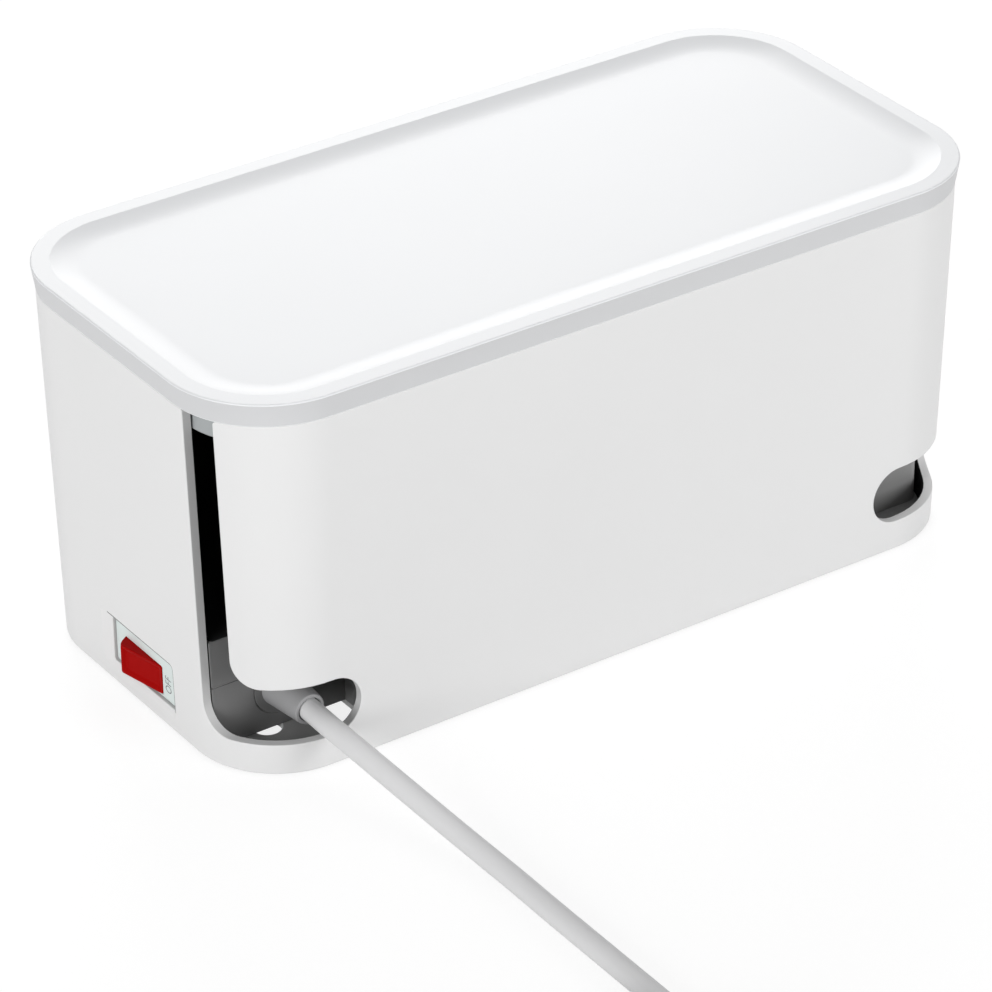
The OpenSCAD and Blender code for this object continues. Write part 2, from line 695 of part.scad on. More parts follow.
module rocker_plunger() {
    color("ivory") at_rocker() {
        rotate([0, 90, 0]) cylinder(h = plunger_reach, d = plunger_d);
        translate([plunger_reach, 0, 0]) sphere(d = plunger_d);
    }
}

// Rocking contact that the plunger tips from side to side
module contact_arm() {
    color("peru") translate([arm_x, rocker_y, switch_z]) rotate([0, 0, -arm_tilt])
        translate([-arm_t / 2, -arm_len / 2, -arm_wid / 2]) cube([arm_t, arm_len, arm_wid]);
}

// Each terminal's place along the case and its height: the arm's fulcrum and the fixed contact
terminal_places = [[0, switch_z], [-contact_off, switch_z - 3.8]];
module switch_terminals() {
    tip_x = arm_x + arm_t / 2;
    blade = 0.8;
    color("goldenrod") {
        translate([tip_x + 0.85, rocker_y, switch_z - 2]) cylinder(h = 4, r = 0.8);
        translate([tip_x + 1.2, rocker_y - 2.2, switch_z - blade / 2])
            cube([case_x1 + 6 - tip_x - 1.2, 4.4, blade]);
        translate([tip_x + 1.4, rocker_y - contact_off, switch_z])
            rotate([0, 90, 0]) cylinder(h = 1, r = 1.6);
        translate([tip_x + 2, rocker_y - contact_off - 1.6, terminal_places[1][1] - blade / 2])
            cube([blade, 3.2, switch_z + 1.6 - terminal_places[1][1] + blade / 2]);
        translate([tip_x + 2, rocker_y - contact_off - 2.2, terminal_places[1][1] - blade / 2])
            cube([case_x1 + 6 - tip_x - 2, 4.4, blade]);
    }
}

// ---------- lead ----------

// Gland: a flange let into the wall, a collar behind it and a tapering sleeve in front
module cord_gland() {
    out_y = head_y0 - 0.2;
    color("silver") difference() {
        union() {
            y_cylinder(gland_x, gland_z, out_y, head_y0 + 1.2, gland_flange_r, gland_flange_r);
            y_cylinder(gland_x, gland_z, head_y0 + 1, head_y0 + shell_t + 0.2, gland_neck_r, gland_neck_r);
            y_cylinder(gland_x, gland_z, head_y0 + shell_t + 0.1, head_y0 + shell_t + 2.6,
                gland_neck_r + 1.6, gland_neck_r + 1.6);
            y_cylinder(gland_x, gland_z, head_y0 - sleeve_len, head_y0, 5.7, gland_neck_r - 0.3);
        }
        y_cylinder(gland_x, gland_z, head_y0 - sleeve_len - 1, head_y0 + 8, gland_bore_r, gland_bore_r);
        y_cylinder(gland_x, gland_z, head_y0 - sleeve_len - eps, head_y0 - sleeve_len + 2, 4.5, gland_bore_r);
    }
}

module cord_clamp() {
    color("darkgray") difference() {
        translate([gland_x - clamp_len / 2, clamp_y - clamp_wid / 2, gland_z + 0.2])
            cube([clamp_len, clamp_wid, 5.6]);
        y_cylinder(gland_x, gland_z, clamp_y - clamp_wid, clamp_y + clamp_wid, gland_bore_r, gland_bore_r);
        for (sx = [-1, 1]) translate([gland_x + sx * clamp_bolt, clamp_y, gland_z])
            cylinder(h = 8, r = hole_r);
    }
}

module clamp_screws() {
    color("silver") for (sx = [-1, 1]) translate([gland_x + sx * clamp_bolt, clamp_y, gland_z + 5.8])
        rotate([180, 0, 0]) {
            translate([0, 0, -1.6]) cylinder(h = 1.6, r = 2.6);
            translate([0, 0, -eps]) cylinder(h = 13, r = shank_r);
        }
}

module housing_screws() {
    color("silver") for (p = housing_screws) screw(p[0], p[1], strip_z + 1.6, housing_screw_len, head_r);
}

module floor_screws() {
    color("silver") for (p = floor_screws) screw(p[0], p[1], base_z + 2.2 - head_t, floor_screw_len, head_r);
}

module live_wire() { color("saddlebrown") tube(live_route, wire_d, 8); }
module switched_wire() { color("saddlebrown") tube(switched_route, wire_d, 8); }
module neutral_wire() { color("royalblue") tube(neutral_route, wire_d, 8); }
module earth_wire() { color("yellowgreen") tube(earth_route, wire_d, 8); }

module mains_cord() { color("whitesmoke") tube(lead_route, cord_d); }
module cord_tail() { color("whitesmoke") tube(tail_route, cord_d); }

// Outer shape of the coiled lead, as many turns wide as it is high
module cord_coil() {
    w = coil_turns_wide * cord_d;
    color("whitesmoke") translate([coil_x, coil_y, tie_t]) rotate_extrude()
        round_rect(coil_r - w / 2, 0, coil_r + w / 2, w, cord_d / 2);
}

module coil_tie() {
    w = coil_turns_wide * cord_d;
    hole = w + 0.6;
    color("dimgray") translate([coil_x, coil_y, 0]) rotate(tie_turn)
        translate([coil_r - hole / 2 - tie_t, -tie_wid / 2, 0]) difference() {
            cube([hole + 2 * tie_t, tie_wid, w + 2 * tie_t + 0.1]);
            translate([tie_t, -1, tie_t]) cube([hole, tie_wid + 2, w + 0.1]);
        }
}

// Moulded plug: sleeve, grip and round face
module plug_body() {
    grip_x = plug_x - plug_sleeve_len;
    color("whitesmoke") difference() {
        union() {
            x_cylinder(plug_y, plug_z, plug_x, grip_x - eps, cord_d / 2 + 1, 8);
            x_cylinder(plug_y, plug_z, grip_x, grip_x - plug_grip_len - eps, 12, 16.5);
            x_cylinder(plug_y, plug_z, grip_x - plug_grip_len, plug_face_x, plug_r, plug_r);
        }
        x_cylinder(plug_y, plug_z, plug_x + 1, plug_x - 16, cord_d / 2 + 0.12, cord_d / 2 + 0.12);
        for (s = [-1, 1]) {
            translate([plug_face_x - 1, plug_y - 3.5, plug_z + s * (plug_r - 0.4) - 1.4])
                cube([plug_face_t + 1, 7, 2.8]);
            translate([plug_face_x - 1, plug_y + s * plug_r - 1.6, plug_z - 2.8])
                cube([plug_face_t + 1, 3.2, 5.6]);
        }
        for (y = [plug_y - pin_gap / 2, plug_y + pin_gap / 2])
            x_cylinder(y, plug_z, plug_face_x + pin_root, plug_face_x - 1, root_r, root_r);
    }
}

module plug_pins() {
    color("silver") for (s = [-1, 1]) {
        y = plug_y + s * pin_gap / 2;
        x_cylinder(y, plug_z, plug_face_x + pin_root, plug_face_x - eps, root_r, root_r);
        x_cylinder(y, plug_z, plug_face_x, plug_face_x - plug_pin_len, plug_pin_d / 2, plug_pin_d / 2);
    }
}

module plug_earth_clips() {
    color("silver") for (s = [-1, 1])
        translate([plug_face_x, plug_y - 3.2, plug_z + s * (plug_r - 1.3) - 0.4])
            cube([plug_face_t - 0.2, 6.4, 0.8]);
}

// ---------- nodes ----------

box_body();
lid();
rubber_feet();
strip_base();
strip_cover();
socket_inserts();
earth_bar();
live_bar();
neutral_bar();
switch_case();
switch_bezel();
rocker();
rocker_plunger();
contact_arm();
switch_terminals();
cord_gland();
cord_clamp();
clamp_screws();
housing_screws();
floor_screws();
live_wire();
switched_wire();
neutral_wire();
earth_wire();
mains_cord();
cord_coil();
coil_tie();
cord_tail();
plug_body();
plug_pins();
plug_earth_clips();
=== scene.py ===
"""Looks of the cable management box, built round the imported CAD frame.

Everything is in metres, in the CAD's own frame: +X along the length, -Y the front, +Z up, with the
origin on the table under the middle of the box. Sizes are written in millimetres times MM.
"""

import math

import bpy
import numpy as np
from mathutils import Matrix, Vector
from mathutils.geometry import delaunay_2d_cdt


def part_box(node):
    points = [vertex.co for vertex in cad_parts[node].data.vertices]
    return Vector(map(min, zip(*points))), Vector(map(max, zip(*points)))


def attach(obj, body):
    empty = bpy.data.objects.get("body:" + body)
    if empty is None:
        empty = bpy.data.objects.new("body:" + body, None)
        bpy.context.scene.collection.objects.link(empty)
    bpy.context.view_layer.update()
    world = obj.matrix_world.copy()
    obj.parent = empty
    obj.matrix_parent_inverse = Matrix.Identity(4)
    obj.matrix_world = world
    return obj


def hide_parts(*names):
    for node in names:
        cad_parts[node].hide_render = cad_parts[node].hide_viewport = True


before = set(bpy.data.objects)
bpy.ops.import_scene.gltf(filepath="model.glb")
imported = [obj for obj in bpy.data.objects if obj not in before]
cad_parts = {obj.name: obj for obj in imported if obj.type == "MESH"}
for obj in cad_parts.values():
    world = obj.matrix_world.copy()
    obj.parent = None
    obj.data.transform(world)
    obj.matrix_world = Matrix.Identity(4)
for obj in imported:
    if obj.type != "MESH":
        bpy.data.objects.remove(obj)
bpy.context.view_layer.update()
MM = 0.001


def middle(node):
    """Centre of a CAD node's box."""
    low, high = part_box(node)
    return (Vector(low) + Vector(high)) / 2


def add_object(name, data):
    """A new object in the scene."""
    made = bpy.data.objects.new(name, data)
    bpy.context.scene.collection.objects.link(made)
    return made


# ---------- camera ----------

CAMERA_AT = Vector((-0.86462, -1.25625, 0.9382))
CAMERA_AZIMUTH = -34.33
CAMERA_ELEVATION = 30.79
CAMERA_ROLL = -0.53
CAMERA_LENS = 179.7
CAMERA_SHIFT_X = 0.006


def make_camera():
    """Camera at the product view's place, with its slight roll."""
    az, el, roll = (math.radians(a) for a in (CAMERA_AZIMUTH, CAMERA_ELEVATION, CAMERA_ROLL))
    back = Vector((math.sin(az) * math.cos(el), -math.cos(az) * math.cos(el), math.sin(el)))
    level = Vector((0, 0, 1)).cross(back).normalized()
    upright = back.cross(level)
    right = math.cos(roll) * level + math.sin(roll) * upright
    up = back.cross(right)
    data = bpy.data.cameras.new("camera")
    data.lens = CAMERA_LENS
    data.sensor_width = 36
    data.shift_x = CAMERA_SHIFT_X
    data.clip_start, data.clip_end = 0.05, 50
    camera = add_object("camera", data)
    camera.matrix_world = Matrix((right, up, back)).transposed().to_4x4()
    camera.location = CAMERA_AT
    bpy.context.scene.camera = camera


make_camera()

# ---------- mains lead ----------

CORD_D = 8 * MM
COIL_R = 45 * MM
COIL_TURNS = 4.25
GLAND_X = middle("cord_gland").x
GLAND_Z = 19 * MM
COIL_BESIDE = 37.3 * MM
COIL_Y = -300 * MM
COIL_Z = 4.6 * MM
COIL_AT = Vector((GLAND_X - COIL_BESIDE, COIL_Y, COIL_Z))
ROUTE_CUTS = 6

# The lead from inside the strip to the coil: x from the gland, then y and z, in millimetres
LEAD_ROUTE = [
    (0, -27, 19), (0, -45, 19), (0, -64, 19), (0, -76, 18.8), (1, -90, 17.6), (3, -105, 15),
    (5.5, -120, 11.8), (8, -136, 8.6), (10, -152, 6.2), (11.5, -170, 4.5), (11.7, -190, 4),
    (11.7, -215, 4), (11.7, -245, 4), (11.7, -275, 4.3), (11.7, -300, 4.6),
]
# The lead from the coil to the plug: x from the coil's centre
TAIL_ROUTE = [(0, -349, 12.6), (-13.2, -349, 13.2), (-28.2, -349, 15.4), (-43.2, -349, 18),
              (-55.2, -349, 19), (-70.2, -349, 19)]


def smooth(points, cuts):
    """Points on a smooth curve through the given ones."""
    out = []
    last = len(points) - 1
    for i in range(last):
        a, b = points[max(0, i - 1)], points[i]
        c, d = points[i + 1], points[min(last, i + 2)]
        for k in range(cuts):
            t = k / cuts
            out.append(0.5 * (2 * b + (c - a) * t + (2 * a - 5 * b + 4 * c - d) * t * t
                              + (3 * b - a - 3 * c + d) * t ** 3))
    return out + [points[last]]


def coil_points():
    """The coil's turns: out and in at the bottom, then in and out at the top."""
    steps_a_turn = 48
    half = CORD_D / 2
    # Each stop is the turn at which the lead is so far out and so high
    stops = [(0, half, 0), (1, half, 0), (1.25, -half, 0), (2.1, -half, 0), (2.35, -half, CORD_D),
             (3.1, -half, CORD_D), (3.4, half, CORD_D), (COIL_TURNS, half, CORD_D)]
    out = []
    count = int(COIL_TURNS * steps_a_turn)
    for i in range(1, count):
        turn = i / steps_a_turn
        k = max(j for j in range(len(stops) - 1) if stops[j][0] <= turn)
        share = (turn - stops[k][0]) / (stops[k + 1][0] - stops[k][0])
        share = share * share * (3 - 2 * share)
        away = stops[k][1] + share * (stops[k + 1][1] - stops[k][1])
        lift = stops[k][2] + share * (stops[k + 1][2] - stops[k][2])
        angle = -2 * math.pi * turn
        out.append(COIL_AT + Vector(((COIL_R + away) * math.cos(angle),
                                     (COIL_R + away) * math.sin(angle), lift)))
    return out


def make_cord():
    """The whole lead as one curve: gland, table, coil and plug."""
    lead, tail = (smooth([Vector((x0 + x * MM, y * MM, z * MM)) for x, y, z in route], ROUTE_CUTS)
                  for x0, route in ((GLAND_X, LEAD_ROUTE), (COIL_AT.x, TAIL_ROUTE)))
    points = lead + coil_points() + tail
    curve = bpy.data.curves.new("mains_lead", "CURVE")
    curve.dimensions = "3D"
    curve.bevel_depth = 1
    curve.bevel_resolution = 8
    curve.use_fill_caps = True
    spline = curve.splines.new("POLY")
    spline.points.add(len(points) - 1)
    for slot, point in zip(spline.points, points):
        slot.co = (*point, 1)
        slot.radius = CORD_D / 2
    spline.use_smooth = True
    cord = add_object("mains_lead", curve)
    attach(cord, "box")
    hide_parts("mains_cord", "cord_coil", "cord_tail")
    return cord


cord = make_cord()

# ---------- sizes shared with the CAD ----------

BASE_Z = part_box("box_body")[0][2]
RIM_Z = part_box("box_body")[1][2]
LID_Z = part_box("lid")[1][2]
HALF_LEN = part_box("box_body")[1][0]
HALF_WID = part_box("box_body")[1][1]
CORNER_R = 36.8 * MM
DRAFT = math.radians(1.53)
SLOPE = math.tan(DRAFT)
WALL = 3.6 * MM
FLOOR = 2.4 * MM
FLOOR_Z = BASE_Z + FLOOR
CENTRE_X = HALF_LEN - CORNER_R
CENTRE_Y = HALF_WID - CORNER_R

CHANNEL_LOW = BASE_Z + 11.9 * MM
CHANNEL_H = 22.4 * MM
CHANNEL_TOP = CHANNEL_LOW + CHANNEL_H
CHANNEL_REACH = 11.9 * MM
SLOT_FROM = 4.8 * MM
SLOT_WID = 13.2 * MM
FLAP_R = 10.3 * MM
BEND_R = 11.5 * MM
CHANNEL_R = CORNER_R - SLOPE * (RIM_Z - (CHANNEL_LOW + CHANNEL_TOP) / 2)
ARC = CHANNEL_R * math.pi / 2
SLOT_TO = (SLOT_FROM + SLOT_WID) / CHANNEL_R

# ---------- shapes ----------


def rounded(corners, closed=True, step=6):
    """Path through corners (x, y, radius), each rounded, as (x, y, outward x, outward y).

    The solid lies on the left of the path. A corner without a radius gives one point, with the
    mean normal. An arc has a point every `step` degrees or closer."""
    out = []
    count = len(corners)
    for i, (x, y, r) in enumerate(corners):
        if not closed and i in (0, count - 1):
            other = corners[1] if i == 0 else corners[-2]
            along = Vector((other[0] - x, other[1] - y)) * (1 if i == 0 else -1)
            along.normalize()
            out.append((x, y, along.y, -along.x))
            continue
        at = Vector((x, y))
        before = (at - Vector(corners[i - 1][:2])).normalized()
        after = (Vector(corners[(i + 1) % count][:2]) - at).normalized()
        turn = math.atan2(before.x * after.y - before.y * after.x, before.dot(after))
        if r == 0:
            mean = Vector((before.y + after.y, -before.x - after.x)).normalized()
            out.append((x, y, mean.x, mean.y))
            continue
        cut = r * math.tan(abs(turn) / 2)
        side = math.copysign(1, turn)
        centre = at - before * cut + side * r * Vector((-before.y, before.x))
        first = Vector((before.y, -before.x))
        steps = max(1, math.ceil(abs(math.degrees(turn)) / step))
        for k in range(steps + 1):
            angle = turn * k / steps
            normal = Vector((first.x * math.cos(angle) - first.y * math.sin(angle),
                             first.x * math.sin(angle) + first.y * math.cos(angle)))
            point = centre + side * r * normal
            out.append((point.x, point.y, normal.x, normal.y))
    return out


def box_path(x0, y0, x1, y1, r, step=6):
    """Rounded rectangle, anticlockwise."""
    return rounded([(x0, y0, r), (x1, y0, r), (x1, y1, r), (x0, y1, r)], step=step)


def circle_path(x, y, r, count=48):
    """Circle, anticlockwise."""
    turns = [2 * math.pi * k / count for k in range(count)]
    return [(x + r * math.cos(a), y + r * math.sin(a), math.cos(a), math.sin(a)) for a in turns]


def as_hole(path):
    """The same outline as the edge of a hole."""
    return [(x, y, -nx, -ny) for x, y, nx, ny in reversed(path)]


def inset(path, by):
    """Path moved into the solid."""
    return [(x - nx * by, y - ny * by, nx, ny) for x, y, nx, ny in path]


def quarter(steps):
    """Angles from 0 to 90 degrees."""
    return [math.pi / 2 * k / steps for k in range(steps + 1)]


class Shape:
    """A mesh in the making. A point without a normal of its own takes that of its faces."""

    def __init__(self):
        self.points, self.normals = [], []
        self.faces, self.slots = [], []

    def row(self, points, normals):
        """Adds points and returns their numbers."""
        start = len(self.points)
        self.points += [Vector(p) for p in points]
        self.normals += [Vector(n).normalized() if n is not None else None for n in normals]
        return list(range(start, len(self.points)))

    def join(self, low, high, slot=0):
        """Faces between two rows; they look outwards if low runs anticlockwise under high."""
        for i in range(len(low)):
            j = (i + 1) % len(low)
            self.faces.append((low[i], low[j], high[j], high[i]))
            self.slots.append(slot)

    def stack(self, rows, slot=0):
        """Faces between each row and the next."""
        for low, high in zip(rows, rows[1:]):
            self.join(low, high, slot)

    def fill(self, loops, inside=(), slot=0, flip=False):
        """Triangles over the flat region between loops of (u, v, number) and inside points."""
        nodes = [n for loop in loops for n in loop] + list(inside)
        edges, start = [], 0
        for loop in loops:
            edges += [(start + i, start + (i + 1) % len(loop)) for i in range(len(loop))]
            start += len(loop)
        flat = [Vector((u, v)) for u, v, _ in nodes]
        made, _, faces, origin, _, _ = delaunay_2d_cdt(flat, edges, [], 1, 1e-9)
        # A triangle is kept where its middle lies inside an odd number of loops
        ends = np.array([[(*flat[a], *flat[b])] for a, b in edges]).reshape(-1, 4)
        for face in faces:
            mid = sum((made[k] for k in face), Vector((0, 0))) / 3
            above = (ends[:, 1] > mid.y) != (ends[:, 3] > mid.y)
            rise = np.where(above, ends[:, 3] - ends[:, 1], 1)
            cross = ends[:, 0] + (mid.y - ends[:, 1]) / rise * (ends[:, 2] - ends[:, 0])
            if not (above & (cross > mid.x)).sum() % 2:
                continue
            corners = [nodes[origin[k][0]][2] for k in face]
            if len(set(corners)) == 3:
                self.faces.append(tuple(reversed(corners)) if flip else tuple(corners))
                self.slots.append(slot)

    def sweep(self, path, profile, slot=0, place=Matrix.Identity(4)):
        """Carries a profile of (inset, z, normal out, normal up) round a path; returns the rows."""
        turn = place.to_3x3()
        rows = []
        for by, z, out, up in profile:
            rows.append(self.row(
                [place @ Vector((x - nx * by, y - ny * by, z)) for x, y, nx, ny in path],
                [turn @ Vector((nx * out, ny * out, up)) for x, y, nx, ny in path]))
        self.stack(rows, slot)
        return rows

    def build(self, name, materials, body):
        """Makes the piece and lets it ride on its body."""
        mesh = bpy.data.meshes.new(name)
        mesh.from_pydata(self.points, [], self.faces)
        for material in materials:
            mesh.materials.append(material)
        mesh.polygons.foreach_set("material_index", self.slots)
        mesh.polygons.foreach_set("use_smooth", [True] * len(self.faces))
        mesh.update()
        sums = [Vector((0, 0, 0)) for _ in self.points]
        for polygon in mesh.polygons:
            for k in polygon.vertices:
                sums[k] += polygon.normal * polygon.area
        normals = [own if own is not None else total.normalized()
                   for own, total in zip(self.normals, sums)]
        mesh.normals_split_custom_set_from_vertices(normals)
        mesh.validate()
        piece = add_object(name, mesh)
        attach(piece, body)
        return piece


def numbered(path, row):
    """Path points with their numbers in a shape."""
    return [(p[0], p[1], k) for p, k in zip(path, row)]


def arc_profile(by, z, r, start, end, steps=5):
    """Round part of a profile about (by, z), between two angles from outwards towards up."""
    out = []
    for k in range(steps + 1):
        a = math.radians(start + (end - start) * k / steps)
        out.append((by - r * math.cos(a), z + r * math.sin(a), math.cos(a), math.sin(a)))
    return out


def rounded_solid(shape, path, z0, z1, r, place):
    """A solid with rounded edges between two heights; path is its outline."""
    steps = 4
    profile = arc_profile(r, z0 + r, r, -90, 0, steps) + arc_profile(r, z1 - r, r, 0, 90, steps)
    rows = shape.sweep(path, profile, place=place)
    face = inset(path, r)
    shape.fill([numbered(face, rows[0])], flip=True)
    shape.fill([numbered(face, rows[-1])])


def turned(shape, profile, place, slot=0):
    """A turned shape from (radius, height) points."""
    count = 64
    path = circle_path(0, 0, 1, count)
    shape.stack([shape.row([place @ Vector((x * r, y * r, z)) for x, y, _, _ in path],
                           [None] * count) for r, z in profile], slot)


def bend(points):
    """Line through (x, y, radius) corners, with each corner rounded, as (x, y)."""
    return [(x, y) for x, y, _, _ in rounded(points, closed=False, step=22.5)]


# ---------- materials ----------


def new_material(name):
    """A material with its Principled shader; returns it with its nodes and the shader."""
    material = bpy.data.materials.new(name)
    material.use_nodes = True
    nodes = material.node_tree.nodes
    return material, nodes, nodes["Principled BSDF"]


def add_node(nodes, kind, inputs=(), **settings):
    """A shader node with its settings, then the values of its inputs."""
    node = nodes.new("ShaderNode" + kind)
    for name, value in settings.items():
        setattr(node, name, value)
    for socket, value in dict(inputs).items():
        node.inputs[socket].default_value = value
    return node


def wire(source, out, sink, into):
    """Links one node's output to another's input."""
    source.id_data.links.new(source.outputs[out], sink.inputs[into])


def moulded_group():
    """Look of moulded plastic: a slightly clouded colour, a grainy roughness and a normal."""
    tree = bpy.data.node_groups.new("moulded_grain", "ShaderNodeTree")
    for name, kind, value in (("Colour", "Color", (0.8, 0.8, 0.8, 1)), ("Roughness", "Float", 0.4),
                              ("Grain", "Float", 0.1), ("Grain Scale", "Float", 2500)):
        socket = tree.interface.new_socket(name=name, in_out="INPUT",
                                           socket_type="NodeSocket" + kind)
        socket.default_value = value
    for name, kind in (("Colour", "Color"), ("Roughness", "Float"), ("Normal", "Vector")):
        tree.interface.new_socket(name=name, in_out="OUTPUT", socket_type="NodeSocket" + kind)
    nodes = tree.nodes
    inlet, outlet = nodes.new("NodeGroupInput"), nodes.new("NodeGroupOutput")
    where = add_node(nodes, "TexCoord")

    cloud = add_node(nodes, "TexNoise", {"Scale": 14, "Detail": 3})
    wire(where, "Object", cloud, "Vector")
    shade = add_node(nodes, "MapRange", {"To Min": 0.985, "To Max": 1.01})
    wire(cloud, "Fac", shade, "Value")
    tint = add_node(nodes, "VectorMath", operation="SCALE")
    wire(inlet, "Colour", tint, 0)
    wire(shade, "Result", tint, "Scale")
    wire(tint, "Vector", outlet, "Colour")

    grain = add_node(nodes, "TexNoise", {"Detail": 2})
    wire(where, "Object", grain, "Vector")
    wire(inlet, "Grain Scale", grain, "Scale")
    rough = add_node(nodes, "Math", {1: 0.12}, operation="MULTIPLY_ADD")
    wire(grain, "Fac", rough, 0)
    wire(inlet, "Roughness", rough, 2)
    wire(rough, "Value", outlet, "Roughness")

    bump = add_node(nodes, "Bump", {"Distance": 0.05 * MM})
    wire(inlet, "Grain", bump, "Strength")
    wire(grain, "Fac", bump, "Height")
    wire(bump, "Normal", outlet, "Normal")
    return tree


MOULDED = moulded_group()


def moulded(name, colour, roughness=0.4, grain=0.1, specular=0.4):
    """Moulded plastic of one colour."""
    material, nodes, shader = new_material(name)
    effect = add_node(nodes, "Group", {"Colour": (*colour, 1), "Roughness": roughness,
                                       "Grain": grain}, node_tree=MOULDED)
    wire(effect, "Colour", shader, "Base Color")
    wire(effect, "Roughness", shader, "Roughness")
    wire(effect, "Normal", shader, "Normal")
    shader.inputs["Specular IOR Level"].default_value = specular
    return material


def metal(name, colour, roughness):
    """Plated or stamped metal with a fine grain."""
    material, nodes, shader = new_material(name)
    where = add_node(nodes, "TexCoord")
    noise = add_node(nodes, "TexNoise", {"Scale": 900, "Detail": 3})
    wire(where, "Object", noise, "Vector")
    rough = add_node(nodes, "MapRange", {"To Min": roughness - 0.08, "To Max": roughness + 0.12})
    wire(noise, "Fac", rough, "Value")
    wire(rough, "Result", shader, "Roughness")
    ramp = add_node(nodes, "Mix", {"A": (*[c * 0.88 for c in colour], 1), "B": (*colour, 1)},
                    data_type="RGBA")
    wire(noise, "Fac", ramp, "Factor")
    wire(ramp, "Result", shader, "Base Color")
    bump = add_node(nodes, "Bump", {"Distance": 0.02 * MM, "Strength": 0.3})
    wire(noise, "Fac", bump, "Height")
    wire(bump, "Normal", shader, "Normal")
    shader.inputs["Metallic"].default_value = 1
    return material


# Near black: painted shade for the box's inside and the strip's top, and the sockets' own black
SHADE_AND_SOCKET_BLACK = (0.022, 0.022, 0.023)
# The strip's grey: partly its own colour, partly painted shade of the closed box
STRIP_SHADED_TONE = (0.32, 0.32, 0.32)
STRIP_ROUGHNESS, STRIP_GRAIN, STRIP_SHINE = 0.5, 0.15, 0.3

BOX_WHITE = moulded("box_white", (0.8, 0.8, 0.8), 0.42, 0.12)
# Painted shade: the box's white inside is coloured near black, as it lies in shade under the lid
BOX_INNER_SHADE = moulded("box_inner_shade", SHADE_AND_SOCKET_BLACK, 0.65, 0.12, specular=0.2)
# Painted shade: grey on the left slot's cut faces, the window's reveal and the foot's rounded edge
BOX_SHADE_GREY = moulded("box_shade_grey", (0.58, 0.58, 0.58), 0.45, 0.12)
# Painted shade: the white floor inside is coloured grey
BOX_FLOOR_SHADE = moulded("box_floor_shade", (0.4, 0.4, 0.4), 0.6, 0.12, specular=0.2)
# Painted shadow: a dark line on the window's lip, where the wall shades the plate
WINDOW_SHADOW_LINE = moulded("window_shadow_line", (0.16, 0.165, 0.165), 0.5, 0.1)
LID_WHITE = moulded("lid_white", (0.84, 0.85, 0.865), 0.38, 0.1)
LID_BAND = moulded("lid_band", (0.64, 0.645, 0.655), 0.4, 0.1)
# Painted shade: the lid's skirt, inside the box, is coloured darker than the lid
LID_SKIRT_SHADE = moulded("lid_skirt_shade", (0.38, 0.4, 0.405), 0.45, 0.1)
STRIP_SHADED_GREY = moulded("strip_shaded_grey", STRIP_SHADED_TONE, STRIP_ROUGHNESS, STRIP_GRAIN, STRIP_SHINE)
# Painted shade: the strip's plastic made darker still on the head's front and the flange, seen in
# shade through the slot
HEAD_SHADE_GREY = moulded("head_shade_grey", (0.2, 0.2, 0.2), STRIP_ROUGHNESS, STRIP_GRAIN, STRIP_SHINE)
SOCKET_BLACK = moulded("socket_black", SHADE_AND_SOCKET_BLACK, 0.45, 0.1)
BEZEL_GREY = moulded("bezel_grey", (0.72, 0.79, 0.775), 0.4, 0.1)
ROCKER_RED = moulded("rocker_red", (0.36, 0.0025, 0.002), 0.5, 0.03, specular=0.04)
CORD_WHITE = moulded("cord_white", (0.73, 0.73, 0.735), 0.5, 0.1)
GLAND_GREY = moulded("gland_grey", (0.36, 0.36, 0.365), 0.5, 0.1, specular=0.3)
RUBBER = moulded("foot_rubber", (0.05, 0.05, 0.052), 0.7, 0.3)
BLACK_PLASTIC = moulded("black_plastic", (0.02, 0.02, 0.02), 0.45, 0.1)
IVORY = moulded("plunger_ivory", (0.7, 0.68, 0.6), 0.4, 0.1)
INK = moulded("ink_grey", (0.1, 0.1, 0.11), 0.6, 0.05)
BROWN = moulded("wire_brown", (0.16, 0.06, 0.02), 0.45, 0.05)
BLUE = moulded("wire_blue", (0.02, 0.12, 0.45), 0.45, 0.05)
GREEN = moulded("wire_green", (0.3, 0.5, 0.05), 0.45, 0.05)
BRASS = metal("brass", (0.72, 0.5, 0.22), 0.3)
STEEL = metal("screw_steel", (0.6, 0.6, 0.62), 0.35)
NICKEL = metal("plug_nickel", (0.68, 0.67, 0.64), 0.25)


def shade_topped():
    """The strip's cover: grey sides, and black as painted shade on every face that looks up."""
    material = moulded("strip_cover_grey", STRIP_SHADED_TONE, STRIP_ROUGHNESS, STRIP_GRAIN, STRIP_SHINE)
    nodes = material.node_tree.nodes
    effect = next(n for n in nodes if n.type == "GROUP")
    where = add_node(nodes, "TexCoord")
    facing = add_node(nodes, "SeparateXYZ")
    wire(where, "Normal", facing, "Vector")
    # Painted shade: faces that look up take the black
    upward = add_node(nodes, "Math", {1: 0.6}, operation="GREATER_THAN")
    wire(facing, "Z", upward, 0)
    painted_shade = add_node(nodes, "Mix", {"A": (*STRIP_SHADED_TONE, 1), "B": (*SHADE_AND_SOCKET_BLACK, 1)},
                     data_type="RGBA")
    wire(upward, "Value", painted_shade, "Factor")
    wire(painted_shade, "Result", effect, "Colour")
    return material


STRIP_COVER = shade_topped()

cord.data.materials.append(CORD_WHITE)

# ---------- box ----------

# Material slots of the box: the outside's white, painted shade inside, painted shade grey, the
# floor's painted shade and a painted shadow line
OUTSIDE, INSIDE_SHADE, SHADE_GREY, FLOOR_SHADE, SHADOW_LINE = range(5)
EDGE = 0.35 * MM
FOOT_EDGE = 0.8 * MM
FLOOR_FILLET = 0.6 * MM
ROUND_STEPS = 4
STRAIGHTS = [CENTRE_X, 2 * CENTRE_Y, 2 * CENTRE_X, 2 * CENTRE_Y, CENTRE_X]
AROUND = sum(STRAIGHTS) + 4 * ARC
CORNERS = [(-1, 1), (-1, -1), (1, -1), (1, 1)]


